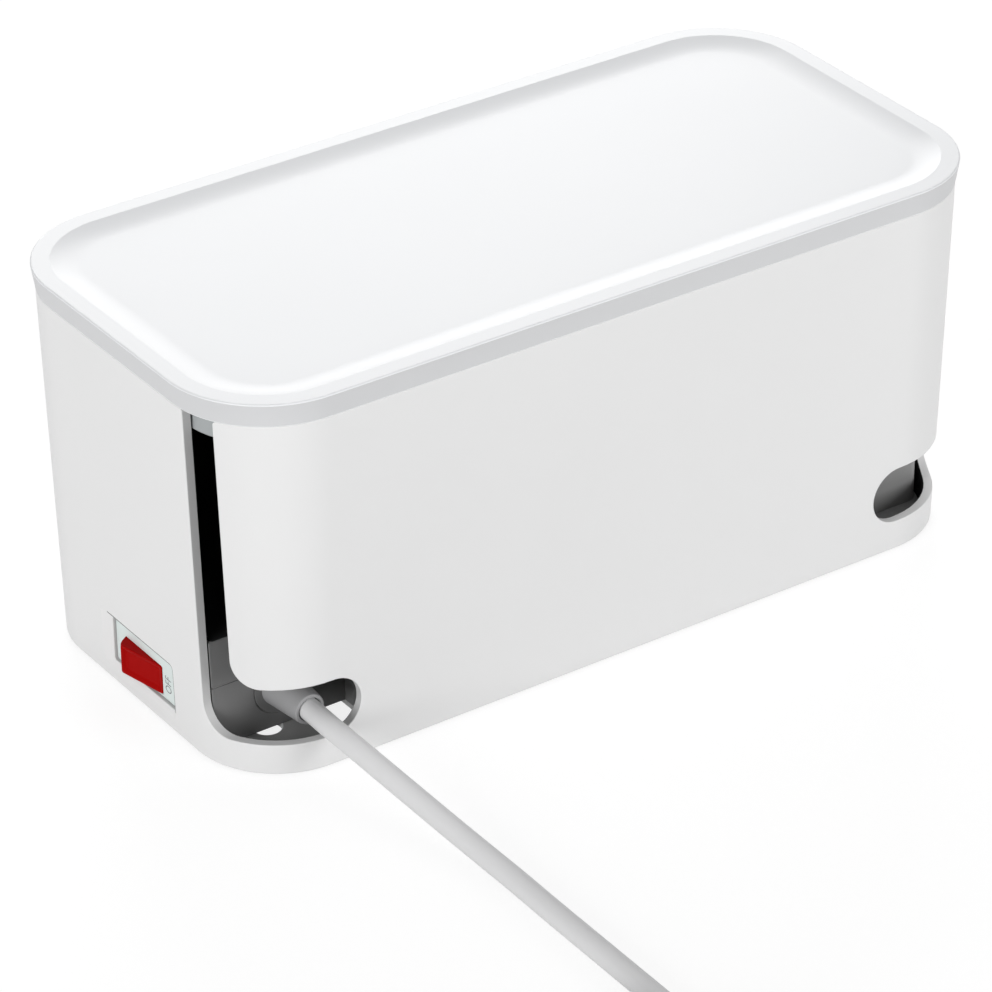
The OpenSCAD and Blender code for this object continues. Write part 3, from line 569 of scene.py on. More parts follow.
def on_wall(u, z, depth):
    """Point of the drafted wall, its outward normal, and the ways that u and height run there.

    u starts at the middle of the back wall and runs past the left end, the front and the right end.
    In the two front corners it is bent, so that a slot's sides run straight along the length."""
    side = 0
    while side < 4 and u > STRAIGHTS[side] + ARC:
        u -= STRAIGHTS[side] + ARC
        side += 1
    reach = CORNER_R - SLOPE * (RIM_Z - z) - depth
    start = math.pi / 2 * (side + 1)
    cut = None
    if u > STRAIGHTS[side]:
        sx, sy = CORNERS[side]
        turn = math.pi / 2 * (u - STRAIGHTS[side]) / ARC
        if sy < 0:
            off = turn if sx < 0 else math.pi / 2 - turn
            held = min(off, SLOT_TO)
            share = (math.pi / 2 - off) / (math.pi / 2 - held)
            off += (math.asin(min(1, CHANNEL_R / reach * math.sin(held))) - held) * share
            turn = off if sx < 0 else math.pi / 2 - off
            cut = Vector((0, sx * share, 0))
        out = Vector((math.cos(start + turn), math.sin(start + turn)))
        base = Vector((sx * CENTRE_X, sy * CENTRE_Y))
    else:
        out = Vector((round(math.cos(start)), round(math.sin(start))))
        along = Vector((-out.y, out.x))
        half, far = (CENTRE_X, CENTRE_Y) if side % 2 == 0 else (CENTRE_Y, CENTRE_X)
        base = out * far + along * (u if side == 0 else u - half)
    at = base + out * reach
    lean = math.hypot(1, SLOPE)
    normal = Vector((out.x, out.y, -SLOPE)) / lean
    along = Vector((-out.y, out.x, 0))
    if cut is not None:
        along = ((1 - cut.length) * along + cut).normalized()
    rise = Vector((out.x * SLOPE, out.y * SLOPE, 1)) / lean
    return Vector((at.x, at.y, z)), normal, along, rise


def wall_rows(shape, path, depth, steps, radius, back=False):
    """Rows of an opening's rounded edge, from the wall's face to the edge's own surface."""
    rows = []
    for a in quarter(steps):
        by, deep = radius * (1 - math.sin(a)), radius * (1 - math.cos(a))
        points, normals = [], []
        for u, z, nu, nz in path:
            at, normal, along, rise = on_wall(u - nu * by, z - nz * by,
                                              depth - deep if back else depth + deep)
            face = -normal if back else normal
            points.append(at)
            normals.append(math.cos(a) * face + math.sin(a) * (nu * along + nz * rise))
        rows.append(shape.row(points, normals))
    return rows


def slot_path():
    """Top edge of the wall with its two slots, from the end of u back to its start."""
    first = CENTRE_X + 2 * CENTRE_Y + ARC
    rim_r = 1.2 * MM
    end = ARC + CHANNEL_REACH
    end_r = CHANNEL_H / 2 - 1e-6
    left = [(first + SLOT_FROM + SLOT_WID, RIM_Z, rim_r),
            (first + SLOT_FROM + SLOT_WID, CHANNEL_TOP, FLAP_R),
            (first + end, CHANNEL_TOP, end_r), (first + end, CHANNEL_LOW, end_r),
            (first + SLOT_FROM, CHANNEL_LOW, BEND_R), (first + SLOT_FROM, RIM_Z, rim_r)]
    right = [(AROUND - u, z, r) for u, z, r in reversed(left)]
    return rounded([(AROUND, RIM_Z, 0)] + right + left + [(0, RIM_Z, 0)], closed=False, step=5)


def subdivide(path, limit):
    """Adds points on long straight stretches."""
    out = []
    for a, b in zip(path, path[1:]):
        gap = math.dist(a[:2], b[:2])
        pieces = max(1, math.ceil(gap / limit - 1e-6))
        out += [tuple(p + (q - p) * k / pieces for p, q in zip(a, b)) for k in range(pieces)]
    return out + [path[-1]]


def stations():
    """Distances round the box at which its upright lines stand."""
    apart, corner_steps = 11 * MM, 24
    out, u = [], 0
    for side, straight in enumerate(STRAIGHTS):
        count = max(1, round(straight / apart))
        out += [u + straight * k / count for k in range(count)]
        u += straight
        if side < 4:
            out += [u + ARC * k / corner_steps for k in range(corner_steps)]
            u += ARC
    return out


# The switch window: its plate's further reach to the back, and the recess round it
PLATE_MORE = 2.2 * MM
PLATE_SUNK = 1.1 * MM
RAMP_BACK, RAMP_FRONT = 5.5 * MM, 0.6 * MM
RAMP_LOW, RAMP_HIGH = 2.4 * MM, 0.9 * MM
RECESS_LIP = 0.5 * MM


def window_paths():
    """The switch window in the end wall, as u and height: the recess's mouth and the window.

    Also the u at which the box's y is 0 there, and the x of the window's edge."""
    low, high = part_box("switch_bezel")
    turn = CENTRE_X + ARC + CENTRE_Y
    gap = 0.3 * MM
    u0, u1 = turn - high[1] - PLATE_MORE - gap, turn - low[1] + gap
    z0, z1 = low[2] - gap, high[2] + gap
    mouth = box_path(u0 - RAMP_BACK, z0 - RAMP_LOW, u1 + RAMP_FRONT, z1 + RAMP_HIGH, 1.6 * MM,
                     step=12)
    window = box_path(u0, z0, u1, z1, 1 * MM, step=12)
    cuts, short = 16, 3 * MM
    fine = [], []
    for k, (a, b) in enumerate(zip(mouth, window)):
        a_next, b_next = mouth[(k + 1) % len(mouth)], window[(k + 1) % len(mouth)]
        count = cuts if math.dist(a[:2], a_next[:2]) > short else 1
        for i in range(count):
            fine[0].append(tuple(p + (q - p) * i / count for p, q in zip(a, a_next)))
            fine[1].append(tuple(p + (q - p) * i / count for p, q in zip(b, b_next)))
    return *fine, turn, low[0] - PLATE_SUNK


def sag(start, knee, end, steps):
    """Points on a rounded bend from start past knee to end."""
    return [(1 - t) ** 2 * start + 2 * t * (1 - t) * knee + t * t * end
            for t in (k / steps for k in range(steps + 1))]


def window_rows(shape, mouth, window, turn, window_x, lip):
    """Rows from the wall's face down the recess, round the window's edge and through the wall."""
    crisp = 0.25 * MM
    columns = []
    for (mu, mz, nu, nz), (wu, wz, _, _) in zip(mouth, window):
        face = on_wall(mu + nu * lip, mz + nz * lip, 0)[0]
        knee = on_wall(mu, mz, 0)[0]
        edge = Vector((window_x, turn - wu, wz))
        ramp = (edge - knee).normalized()
        columns.append(sag(face, knee, knee + ramp * lip * 0.9, 4)
                       + sag(edge - ramp * crisp, edge, edge + Vector((crisp, 0, 0)), 4)
                       + [on_wall(wu, wz, WALL)[0]])
    rows = []
    for k in range(len(columns[0])):
        normals = [on_wall(mu, mz, 0)[1] if k == 0 else None for mu, mz, _, _ in mouth]
        rows.append(shape.row([column[k] for column in columns], normals))
    return rows


def make_box():
    """The moulded box: drafted walls, two cable slots, the switch window and the vented floor."""
    shape = Shape()
    path = subdivide(slot_path(), 4 * MM)[:-1]
    front = wall_rows(shape, path, 0, ROUND_STEPS, EDGE)
    back = wall_rows(shape, path, WALL, ROUND_STEPS, EDGE, back=True)
    shape.stack(list(reversed(front)))
    start = len(shape.faces)
    # Painted shade: the slots' cut faces are grey
    shape.join(back[-1], front[-1], SHADE_GREY)
    # The right slot's edge keeps the white of the outside, without the painted shade
    for k, (u, _, _, _) in enumerate(path):
        if u > AROUND / 2:
            shape.slots[start + k] = OUTSIDE
    # The wall's inside face, in painted shade
    shape.stack(back, INSIDE_SHADE)

    columns = stations()

    def foot_row(z, depth, out, up):
        points, normals = [], []
        for u in columns:
            at, normal, _, _ = on_wall(u, z, depth)
            points.append(at)
            normals.append(out * normal + Vector((0, 0, up)))
        return shape.row(points, normals)

    outer = [foot_row(BASE_Z + FOOT_EDGE * (1 - math.sin(a)), FOOT_EDGE * (1 - math.cos(a)),
                      math.cos(a), -math.sin(a)) for a in quarter(ROUND_STEPS)]
    inner = [foot_row(FLOOR_Z + FLOOR_FILLET * (1 - math.sin(a)),
                      WALL + FLOOR_FILLET * (1 - math.cos(a)),
                      -math.cos(a), math.sin(a)) for a in quarter(ROUND_STEPS)]
    foot = list(reversed(outer))
    # Painted shadow: the lower rows of the foot's rounded edge are grey, a dark line where the box
    # meets the table
    shape.stack(foot[:3], SHADE_GREY)
    shape.stack(foot[2:])
    shape.stack(inner, INSIDE_SHADE)

    mouth, window, turn, window_x = window_paths()
    recess = window_rows(shape, mouth, window, turn, window_x, RECESS_LIP)
    start = len(shape.faces)
    shape.stack(recess[:-1])
    # A painted shadow line on the lip, over the window and in front of it
    shadow_rows, past_u, past_z = 4, 0.8 * MM, 0.3 * MM
    back_u, low_z = (min(p[k] for p in window) for k in (0, 1))
    for k in range(shadow_rows * len(mouth)):
        u, z, nu, nz = mouth[k % len(mouth)]
        if (nz > 0.5 or nu > 0.5) and u > back_u - past_u and z > low_z - past_z:
            shape.slots[start + k] = SHADOW_LINE
    # Painted shade: the window's reveal through the wall is grey
    shape.join(recess[-2], recess[-1], SHADE_GREY)
    inner_edge = shape.row([shape.points[k] for k in recess[-1]], [(1, 0, 0)] * len(window))

    def skin(rows_top, row_low, low_z, depth, window, window_row, slot, flip):
        """One face of the wall, between the slots' edge, the foot and the window."""
        top, facing, levels, near = inset(path, EDGE), -1 if flip else 1, 12, 1.8 * MM
        seam_z = [low_z + (RIM_Z - EDGE - low_z) * k / levels for k in range(1, levels)]
        seam = shape.row([on_wall(0, z, depth)[0] for z in seam_z],
                         [on_wall(0, z, depth)[1] * facing for z in seam_z])
        top_loop = [(u, z, k) for (u, z, _, _), k in zip(top, rows_top)]
        loop = [(u, low_z, k) for u, k in zip(columns, row_low)] + [(AROUND, low_z, row_low[0])]
        loop += [(AROUND, z, k) for z, k in zip(seam_z, seam)]
        loop += top_loop + [(0, RIM_Z - EDGE, rows_top[0])]
        loop += [(0, z, k) for z, k in zip(reversed(seam_z), reversed(seam))]
        hole = numbered(window, window_row)
        grid = [(u, z) for u in columns[1:] for z in seam_z]
        edge = np.array([(u, z) for u, z, _ in top_loop + hole])
        kept = [(u, z) for u, z in grid
                if np.hypot(edge[:, 0] - u, edge[:, 1] - z).min() > near
                and not inside_box(u, z, window)
                and on_solid(u, z, top_loop)]
        row = shape.row([on_wall(u, z, depth)[0] for u, z in kept],
                        [on_wall(u, z, depth)[1] * facing for u, z in kept])
        shape.fill([loop, list(reversed(hole))], [(u, z, k) for (u, z), k in zip(kept, row)],
                   slot, flip)

    wide_mouth = inset(mouth, -RECESS_LIP)
    skin(front[0], outer[0], BASE_Z + FOOT_EDGE, 0, wide_mouth, recess[0], OUTSIDE, False)
    # The inner face of the wall, in painted shade
    skin(back[0], inner[0], FLOOR_Z + FLOOR_FILLET, WALL, window, inner_edge, INSIDE_SHADE, True)
    make_floor(shape, outer[-1], inner[-1])
    piece = shape.build("box_shell", [BOX_WHITE, BOX_INNER_SHADE, BOX_SHADE_GREY, BOX_FLOOR_SHADE, WINDOW_SHADOW_LINE],
                        "box")
    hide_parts("box_body")


def inside_box(u, z, path):
    """Whether a point lies in the bounding box of a path."""
    us, zs = [p[0] for p in path], [p[1] for p in path]
    return min(us) < u < max(us) and min(zs) < z < max(zs)


def on_solid(u, z, top_loop):
    """Whether a point of the wall lies under its top edge and outside its slots."""
    crossings = 0
    for (u0, z0, _), (u1, z1, _) in zip(top_loop, top_loop[1:]):
        if (u0 > u) != (u1 > u) and z0 + (u - u0) / (u1 - u0) * (z1 - z0) > z:
            crossings += 1
    return crossings % 2 == 1


# The floor's openings. A place is the distance in from the end wall and from the long wall, and
# the square vent's sizes are its reach outwards and inwards from its place
ROUND_VENT_AT, ROUND_VENT_R = (22.2 * MM, 26.1 * MM), 5.1 * MM
SQUARE_VENT_AT = (44.1 * MM, 16.3 * MM)
SQUARE_VENT_X, SQUARE_VENT_Y = (5 * MM, 9.2 * MM), (7.5 * MM, 12 * MM)
FOOT_AT, FOOT_R, FOOT_POCKET = (63.6 * MM, 11.3 * MM), 7.2 * MM, 1 * MM
SCREW_R, SCREW_POCKET = 3.2 * MM, 2.2 * MM


def make_floor(shape, under_row, over_row):
    """Floor of the box with its vents, foot pockets and screw holes."""
    inner_x = HALF_LEN - WALL - SLOPE * (RIM_Z - FLOOR_Z)
    inner_y = HALF_WID - WALL - SLOPE * (RIM_Z - FLOOR_Z)
    soft = 0.4 * MM
    vents, feet, screws = [], [], []
    for sx in (-1, 1):
        for sy in (-1, 1):
            round_at, square_at, foot_at = (
                (sx * (inner_x - x), sy * (inner_y - y))
                for x, y in (ROUND_VENT_AT, SQUARE_VENT_AT, FOOT_AT))
            vents.append(circle_path(*round_at, ROUND_VENT_R))
            (x0, x1), (y0, y1) = (
                sorted((at + sign * out, at - sign * back)) for at, sign, (out, back) in
                ((square_at[0], sx, SQUARE_VENT_X), (square_at[1], sy, SQUARE_VENT_Y)))
            vents.append(box_path(x0, y0, x1, y1, 0.6 * MM, step=30))
            feet.append(circle_path(*foot_at, FOOT_R))
    low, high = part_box("strip_base")
    for x, y in ((low[0] + 39.3 * MM, high[1] - 16.8 * MM),
                 (high[0] - 55 * MM, high[1] - 10.7 * MM),
                 (high[0] - 55 * MM, low[1] + 10.7 * MM)):
        screws.append(circle_path(x, y, SCREW_R, 24))
    over_loops = [[(*shape.points[k].xy, k) for k in over_row]]
    under_loops = [[(*shape.points[k].xy, k) for k in under_row]]
    for vent in vents:
        edge = as_hole(vent)
        rows = shape.sweep(edge, arc_profile(soft, BASE_Z + soft, soft, -90, 0, 3)
                           + arc_profile(soft, FLOOR_Z - soft, soft, 0, 90, 3))
        under_loops.append(numbered(inset(edge, soft), rows[0]))
        over_loops.append(numbered(inset(edge, soft), rows[-1]))
    crease = 0.02 * MM
    for pocket, deep in [(f, FOOT_POCKET) for f in feet] + [(s, SCREW_POCKET) for s in screws]:
        edge = as_hole(pocket)
        rows = shape.sweep(edge, [(0, BASE_Z, 0, -1), (0, BASE_Z + crease, 1, 0),
                                  (0, BASE_Z + deep, 1, 0)])
        under_loops.append(numbered(edge, rows[0]))
        roof = shape.row([shape.points[k] for k in rows[-1]], [(0, 0, -1)] * len(edge))
        shape.faces.append(tuple(roof))
        shape.slots.append(OUTSIDE)
    # The floor's upper face, in painted shade
    shape.fill(over_loops, slot=FLOOR_SHADE)
    shape.fill(under_loops, flip=True)


make_box()


# ---------- lid ----------

LID_FLARE = 1.4 * MM
RIM_WID = 7 * MM
TRAY_SLOPE = 10.5 * MM
TRAY_DEPTH = 1.9 * MM
TRAY_Z = LID_Z - 1.4 * MM
LID_PLATE = 2.4 * MM
SKIRT_DEPTH = 8.8 * MM
SKIRT_IN = 4.3 * MM
SKIRT_T = 2 * MM
LID_TOP, LID_SIDE, LID_INNER = range(3)


def make_lid():
    """The lid: hollow-edged tray, flat rim, flared band and skirt, one profile carried round."""
    top_x, top_y = HALF_LEN + LID_FLARE, HALF_WID + LID_FLARE
    path = box_path(-top_x, -top_y, top_x, top_y, CORNER_R + LID_FLARE, step=3)
    under_z = TRAY_Z - LID_PLATE
    lean = math.atan2(LID_FLARE, LID_Z - RIM_Z)
    soft, crisp = 0.6 * MM, 0.35 * MM
    skirt_out = LID_FLARE + SKIRT_IN
    skirt_in = skirt_out + SKIRT_T
    skirt_z = RIM_Z - SKIRT_DEPTH

    skirt = ([(skirt_in, under_z - crisp, -1, 0)]
             + arc_profile(skirt_in - crisp, skirt_z + crisp, crisp, 180, 270, 3)
             + arc_profile(skirt_out + crisp, skirt_z + crisp, crisp, -90, 0, 3))
    crease = 0.01 * MM
    ledge = [(skirt_out, RIM_Z - crease, 1, 0), (skirt_out, RIM_Z, 0, -1)]
    foot = arc_profile(LID_FLARE + crisp, RIM_Z + crisp, crisp, -90, 0, 3)
    band_top = LID_Z - soft
    band = [(LID_FLARE - (band_top - RIM_Z) * math.tan(lean), band_top,
             math.cos(lean), -math.sin(lean))]
    shoulder = arc_profile(band[0][0] + soft, band_top, soft, 0, 90, 4)
    # The hollow falls as a parabola: steepest at the rim, level at the tray
    edge_lean = math.atan(2 * TRAY_DEPTH / TRAY_SLOPE)
    hollow = [(RIM_WID - crisp * (1 - k / 3),
               LID_Z - 0.5 * crisp * math.tan(edge_lean) * (k / 3) ** 2,
               -math.sin(edge_lean * k / 3), math.cos(edge_lean * k / 3)) for k in range(4)]
    rim_z, steps = hollow[-1][1], 14
    for k in range(1, steps + 1):
        t = k / steps
        lean_in = math.atan(2 * TRAY_DEPTH / TRAY_SLOPE * (1 - t))
        hollow.append((RIM_WID + TRAY_SLOPE * t, rim_z - TRAY_DEPTH * (1 - (1 - t) ** 2),
                       -math.sin(lean_in), math.cos(lean_in)))

    shape = Shape()
    # The skirt takes the painted shade grey
    skirt_rows = shape.sweep(path, skirt + ledge[:1], LID_INNER)
    band_rows = shape.sweep(path, ledge[1:] + foot)
    shape.join(skirt_rows[-1], band_rows[0])
    shape.sweep(path, [foot[-1], band[0]], LID_SIDE)
    top_rows = shape.sweep(path, shoulder + hollow, LID_TOP)
    tray = numbered(inset(path, RIM_WID + TRAY_SLOPE), top_rows[-1])
    shape.fill([tray])
    ceiling_path = inset(path, skirt_in)
    ceiling = shape.row([(x, y, under_z) for x, y, _, _ in ceiling_path], [(0, 0, -1)] * len(path))
    shape.join(ceiling, skirt_rows[0])
    shape.fill([numbered(ceiling_path, ceiling)], flip=True)
    piece = shape.build("lid_shell", [LID_WHITE, LID_BAND, LID_SKIRT_SHADE], "lid")
    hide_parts("lid")


make_lid()


# ---------- switch ----------

ROCKER_LEN = 20.8 * MM
ROCKER_H = 11.3 * MM
ROCKER_REST = math.radians(12)
FACE_OFF = 8.4 * MM
FACE_T = 1.3 * MM
DISH_WID = 2.1 * MM
DISH_DEPTH = 0.9 * MM
PIVOT_IN, PIVOT_BACK = 6 * MM, 3.2 * MM
PIVOT = Vector((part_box("switch_bezel")[0][0] + PIVOT_IN, middle("switch_bezel").y + PIVOT_BACK,
                middle("rocker").z))


def rocker_outline():
    """The rocker's body seen from above, off its pivot: round ends, and shoulders at its face.

    Between the shoulders it steps back behind the face plate."""
    half = ROCKER_LEN / 2
    reach = math.hypot(half, FACE_OFF)
    shoulder, hidden = -FACE_OFF + 0.35 * MM, -FACE_OFF + FACE_T
    past, within, heel_r = 0.1 * MM, 1 * MM, 1.5 * MM
    ends = [(x, math.sqrt(reach * reach - x * x)) for x in (-7.2 * MM, -6 * MM, -4 * MM, -2 * MM)]
    corners = [(shoulder, half + past, 0), (hidden, half - within, 0),
               (hidden, within - half, 0), (shoulder, -half - past, 0)]
    corners += [(x, -y, 0) for x, y in ends] + [(0, -reach, heel_r), (0, reach, heel_r)]
    corners += [(x, y, 0) for x, y in reversed(ends)]
    return rounded(corners, step=12)


def make_rocker():
    """The red rocker with its dished face, pressed in at the front as it lies when off."""
    shape = Shape()
    place = Matrix.Translation(PIVOT) @ Matrix.Rotation(ROCKER_REST, 4, "Z")
    rounded_solid(shape, rocker_outline(), -ROCKER_H / 2, ROCKER_H / 2, 0.2 * MM, place)
    # The face: local x runs towards the front, local y up and local z outwards
    facing = place @ Matrix(((0, 0, -1, -FACE_OFF), (-1, 0, 0, 0), (0, 1, 0, 0), (0, 0, 0, 1)))
    soft, proud, corner, steps = 0.3 * MM, 0.02 * MM, 0.9 * MM, 8
    profile = [(0, -FACE_T - 0.2 * MM, 1, 0)] + arc_profile(soft, -soft, soft, 0, 90, 3)
    for k in range(1, steps + 1):
        t = k / steps
        lean = math.pi / 2 * DISH_DEPTH / DISH_WID * math.sin(math.pi * t)
        profile.append((soft + DISH_WID * t, -DISH_DEPTH * (1 - math.cos(math.pi * t)) / 2,
                        -lean, 1))
    rows = []
    for by, z, out, up in profile:
        x, y = ROCKER_LEN / 2 - by, ROCKER_H / 2 + proud - by
        path = box_path(-x, -y, x, y, max(soft, corner - by), step=12)
        rows += shape.sweep(path, [(0, z, out, up)], place=facing)
    shape.stack(rows)
    shape.fill([numbered(path, rows[-1])])
    piece = shape.build("rocker_cap", [ROCKER_RED], "rocker")
    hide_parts("rocker")


def make_bezel():
    """The switch's frame: a flat plate with soft edges and the rocker's opening."""
    low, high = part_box("switch_bezel")
    soft, play = 0.2 * MM, 0.3 * MM
    open_half = math.sqrt((math.hypot(ROCKER_LEN / 2, FACE_OFF) + play) ** 2
                          - (PIVOT.x - low[0]) ** 2)
    # Local x runs towards the back, local y up and local z out of the end wall
    place = Matrix(((0, 0, -1, low[0]), (1, 0, 0, 0), (0, -1, 0, 0), (0, 0, 0, 1)))
    plate = box_path(low[1], -high[2], high[1] + PLATE_MORE, -low[2], 1.2 * MM, step=15)
    tall = ROCKER_H / 2 + 0.1 * MM
    hole = as_hole(box_path(PIVOT.y - open_half, -PIVOT.z - tall,
                            PIVOT.y + open_half, -PIVOT.z + tall, 0.6 * MM, step=15))
    shape = Shape()
    thick = high[0] - low[0]
    round_edge = arc_profile(soft, -soft, soft, 0, 90, 3)
    outer = shape.sweep(plate, [(0, -thick, 1, 0)] + round_edge, place=place)
    inner = shape.sweep(hole, [(0, -3 * thick, 1, 0)] + round_edge, place=place)
    shape.fill([numbered(inset(plate, soft), outer[-1]), numbered(inset(hole, soft), inner[-1])])
    floor = shape.row([shape.points[k] for k in inner[0]], [(-1, 0, 0)] * len(hole))
    shape.fill([numbered(hole, floor)])
    back = shape.row([shape.points[k] for k in outer[0]], [(1, 0, 0)] * len(plate))
    under = shape.row([place @ Vector((x, y, -thick)) for x, y, _, _ in hole],
                      [(1, 0, 0)] * len(hole))
    shape.fill([numbered(plate, back), numbered(hole, under)], flip=True)
    piece = shape.build("switch_frame", [BEZEL_GREY], "box")
    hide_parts("switch_bezel")


# The mark's foot, height, start and length, in millimetres, and the height of the ink
MARK_Y, MARK_TALL, MARK_Z, MARK_LONG = -20.3, 3.7, 12.7, 6.4
INK_PROUD = 0.03 * MM


def make_off_mark():
    """The word OFF beside the rocker, reading upwards."""
    low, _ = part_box("switch_bezel")
    text = bpy.data.curves.new("off_mark", "FONT")
    text.body = "OFF"
    text.size = 1
    text.extrude = 0
    text.offset = -0.012  # thins the strokes
    made = add_object("off_mark_outline", text)
    bpy.context.view_layer.update()
    depsgraph = bpy.context.evaluated_depsgraph_get()
    mesh = bpy.data.meshes.new_from_object(made.evaluated_get(depsgraph))
    bpy.data.objects.remove(made)
    mesh.name = "off_mark"
    spots = [Vector(v.co) for v in mesh.vertices]
    x0, x1 = min(p.x for p in spots), max(p.x for p in spots)
    y0, y1 = min(p.y for p in spots), max(p.y for p in spots)
    for vertex, spot in zip(mesh.vertices, spots):
        along, up = (spot.x - x0) / (x1 - x0), (spot.y - y0) / (y1 - y0)
        vertex.co = (low[0] - INK_PROUD, (MARK_Y + MARK_TALL * up) * MM,
                     (MARK_Z + MARK_LONG * along) * MM)
    mesh.update()
    mesh.materials.clear()
    mesh.materials.append(INK)
    piece = add_object("off_mark", mesh)
    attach(piece, "box")


make_rocker()
make_bezel()
make_off_mark()


# ---------- head and gland ----------

FLANGE_R = 10.4 * MM
PANEL_T = 0.35 * MM
HEAD_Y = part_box("strip_base")[0][1] + 8.2 * MM
HEAD_LEN = 52.8 * MM


def make_head_panels():
    """Front of the strip's head: two panels between the box's walls.

    They are parted at the seam and round the gland."""
    place = Matrix(((1, 0, 0, 0), (0, 0, -1, 0), (0, 1, 0, 0), (0, 0, 0, 1)))
    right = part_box("strip_base")[0][0] + HEAD_LEN
    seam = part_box("strip_cover")[0][2]
    gap, play, edge_gap = 0.2 * MM, 0.15 * MM, 0.1 * MM
    soft, corner, sunk = 0.25 * MM, 0.4 * MM, 0.05 * MM
    r, steps = FLANGE_R + 0.3 * MM, 32

    def left(z):
        """Where the box's inner wall stands at this height."""
        reach = CORNER_R - WALL - SLOPE * (RIM_Z - z)
        off = -CENTRE_Y - HEAD_Y + PANEL_T
        return play - CENTRE_X - math.sqrt(reach * reach - off * off)

    for name, z0, z1 in (("head_panel_low", FLOOR_Z + edge_gap, seam - gap),
                         ("head_panel_high", seam + gap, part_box("strip_cover")[1][2] - edge_gap)):
        lower = name == "head_panel_low"
        tip = math.asin(((z1 if lower else z0) - GLAND_Z) / r)
        first, last = (tip, -math.pi - tip) if lower else (math.pi - tip, tip)
        notch = [(GLAND_X + r * math.cos(a), GLAND_Z + r * math.sin(a), 0)
                 for a in (first + (last - first) * k / steps for k in range(steps + 1))]
        corners = [(left(z0), z0, corner), (right, z0, corner),
                   (right, z1, corner), (left(z1), z1, corner)]
        notch_at = 3 if lower else 1
        path = rounded(corners[:notch_at] + notch + corners[notch_at:], step=15)
        shape = Shape()
        profile = [(0, -HEAD_Y - sunk, 1, 0)]
        profile += arc_profile(soft, -HEAD_Y + PANEL_T - soft, soft, 0, 90, 3)
        rows = shape.sweep(path, profile, place=place)
        shape.fill([numbered(inset(path, soft), rows[-1])])
        # The panels carry the head's painted shade grey
        shape.build(name, [HEAD_SHADE_GREY], "box")


def make_gland():
    """Flange on the head's front and the tapered sleeve round the lead."""
    start, end = -HEAD_Y, -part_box("cord_gland")[0][1]
    place = Matrix(((1, 0, 0, GLAND_X), (0, 0, -1, 0), (0, 1, 0, GLAND_Z), (0, 0, 0, 1)))
    # Each corner is its radius from the lead, its distance out and its own rounding
    flange = [(FLANGE_R, start - 1 * MM, 0), (FLANGE_R, start + PANEL_T, 0.15 * MM),
              (7 * MM, start + PANEL_T, 0)]
    sleeve = [(7.5 * MM, start, 0), (5.7 * MM, end, 0.5 * MM), (4.55 * MM, end, 0.2 * MM),
              (4.15 * MM, end - 1.2 * MM, 0.1 * MM), (4.12 * MM, start, 0)]
    shape = Shape()
    # The flange takes the head's painted shade grey
    turned(shape, bend(flange), place, slot=1)
    turned(shape, bend(sleeve), place)
    piece = shape.build("lead_sleeve", [GLAND_GREY, HEAD_SHADE_GREY], "box")
    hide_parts("cord_gland")


make_head_panels()
make_gland()


# ---------- finish of the CAD nodes ----------


def soften(node, width):
    """Rounds the edges of a CAD node as it is shown."""
    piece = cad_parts[node]
    weld = piece.modifiers.new("weld", "WELD")
    weld.merge_threshold = 0.001 * MM
    flat = piece.modifiers.new("flat", "DECIMATE")
    flat.decimate_type = "DISSOLVE"
    flat.angle_limit = math.radians(0.5)
    bevel = piece.modifiers.new("bevel", "BEVEL")
    bevel.width = width
    bevel.segments = 3
    bevel.limit_method = "ANGLE"
    bevel.angle_limit = math.radians(32)
    bevel.use_clamp_overlap = True
    lean = piece.modifiers.new("lean", "WEIGHTED_NORMAL")
    lean.keep_sharp = False


# Each solid that shows as it is: its material and the width of its rounded edges in millimetres
NODE_LOOKS = {
    "rubber_feet": (RUBBER, 0.4), "strip_base": (STRIP_SHADED_GREY, 0.35),
    "strip_cover": (STRIP_COVER, 0.35), "socket_inserts": (SOCKET_BLACK, 0.3),
    "earth_bar": (BRASS, 0), "live_bar": (BRASS, 0),
    "neutral_bar": (BRASS, 0), "switch_case": (BLACK_PLASTIC, 0.2), "rocker_plunger": (IVORY, 0),
    "contact_arm": (BRASS, 0), "switch_terminals": (BRASS, 0), "cord_clamp": (BLACK_PLASTIC, 0.2),
    "clamp_screws": (STEEL, 0), "housing_screws": (STEEL, 0), "floor_screws": (STEEL, 0),
    "live_wire": (BROWN, 0), "switched_wire": (BROWN, 0), "neutral_wire": (BLUE, 0),
    "earth_wire": (GREEN, 0),
    "coil_tie": (BLACK_PLASTIC, 0.2), "plug_body": (CORD_WHITE, 0.8), "plug_pins": (NICKEL, 0),
    "plug_earth_clips": (NICKEL, 0.1),
}
for node, (material, width) in NODE_LOOKS.items():
    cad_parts[node].material_slots[0].material = material
    if width:
        soften(node, width * MM)


# ---------- lights and floor ----------


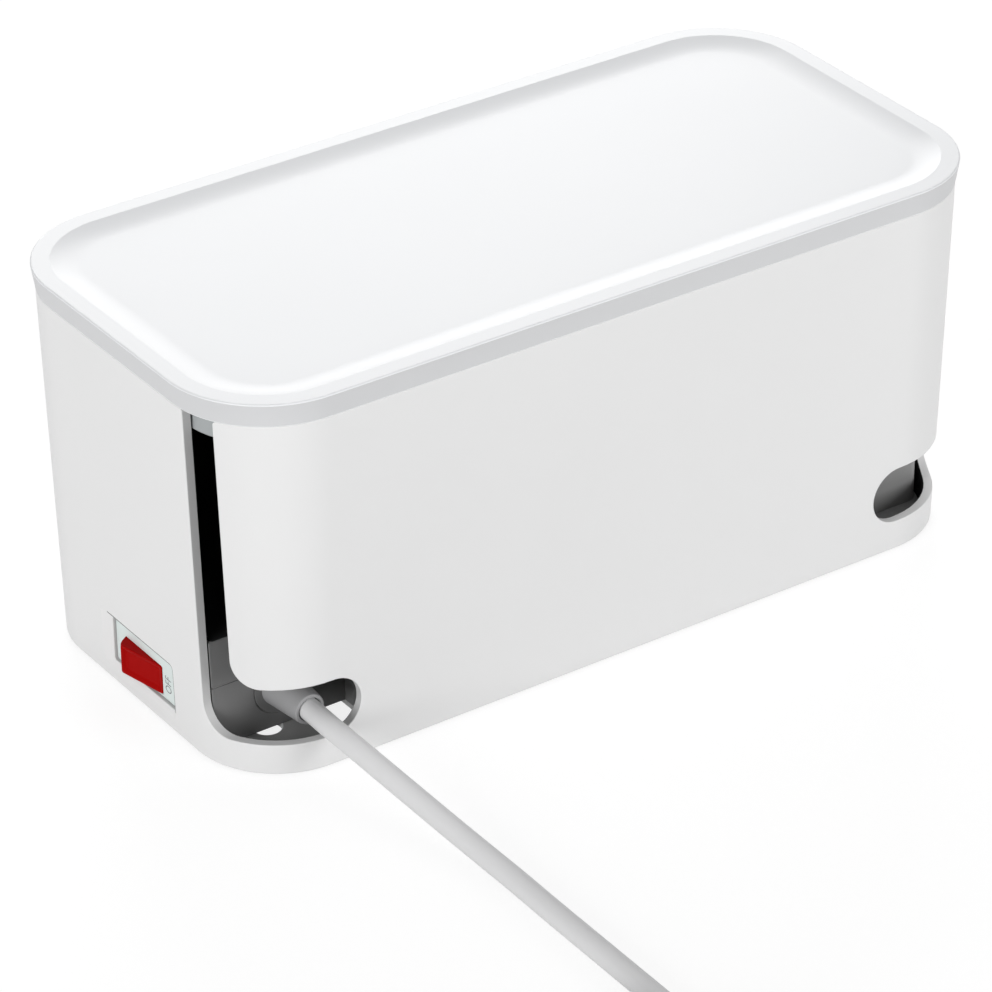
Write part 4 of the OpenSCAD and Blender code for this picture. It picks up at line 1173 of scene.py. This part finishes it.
def make_floor_plane():
    """White table top: white to the camera and to gloss, with the object's shadow on it."""
    mesh = bpy.data.meshes.new("table_top")
    half = 12
    mesh.from_pydata([(-half, -half, 0), (half, -half, 0), (half, half, 0), (-half, half, 0)],
                     [], [(0, 1, 2, 3)])
    plane = add_object("table_top", mesh)
    material, nodes, _ = new_material("table_white")
    nodes.clear()
    out = add_node(nodes, "OutputMaterial")
    ray = add_node(nodes, "LightPath")
    seen, out_of_seen = ray, "Is Camera Ray"
    for way in ("Is Glossy Ray", "Is Transmission Ray"):
        either = add_node(nodes, "Math", operation="MAXIMUM")
        wire(seen, out_of_seen, either, 0)
        wire(ray, way, either, 1)
        seen, out_of_seen = either, "Value"
    matt = add_node(nodes, "BsdfDiffuse", {"Color": (0.75, 0.75, 0.75, 1)})
    shadow = add_node(nodes, "BsdfDiffuse", {"Color": (0.24, 0.24, 0.24, 1)})
    glow = add_node(nodes, "Emission", {"Strength": 0.82})
    bright = add_node(nodes, "AddShader")
    wire(shadow, "BSDF", bright, 0)
    wire(glow, "Emission", bright, 1)
    choose = add_node(nodes, "MixShader")
    wire(seen, out_of_seen, choose, "Fac")
    wire(matt, "BSDF", choose, 1)
    wire(bright, "Shader", choose, 2)
    wire(choose, "Shader", out, "Surface")
    mesh.materials.append(material)


def make_world():
    """Even white room, plain white to the camera."""
    world = bpy.data.worlds.new("room")
    bpy.context.scene.world = world
    world.use_nodes = True
    nodes = world.node_tree.nodes
    nodes.clear()
    out = add_node(nodes, "OutputWorld")
    ray = add_node(nodes, "LightPath")
    room = add_node(nodes, "Background", {"Color": (1, 1, 1, 1), "Strength": 0.35})
    seen = add_node(nodes, "Background", {"Color": (1, 1, 1, 1), "Strength": 1})
    choose = add_node(nodes, "MixShader")
    wire(ray, "Is Camera Ray", choose, "Fac")
    wire(room, "Background", choose, 1)
    wire(seen, "Background", choose, 2)
    wire(choose, "Shader", out, "Surface")


LOOK_AT = Vector((0, 0, 0.07))


def area_light(name, at, size, power):
    """Square soft box that looks at the box; its place and side in metres, its power in watts."""
    data = bpy.data.lights.new(name, "AREA")
    data.shape = "SQUARE"
    data.size = size
    data.energy = power
    light = add_object(name, data)
    light.location = at
    light.rotation_mode = "QUATERNION"
    light.rotation_quaternion = (LOOK_AT - Vector(at)).to_track_quat("-Z", "Y")


make_floor_plane()
make_world()
area_light("back_light", (1.05, 1.9, 0.95), 1.3, 34)
area_light("front_light", (0.95, -2.05, 0.75), 1.2, 23)
area_light("left_light", (-2.05, -0.75, 0.75), 1.1, 26)

bpy.context.scene.view_settings.view_transform = "Standard"

bpy.context.view_layer.update()
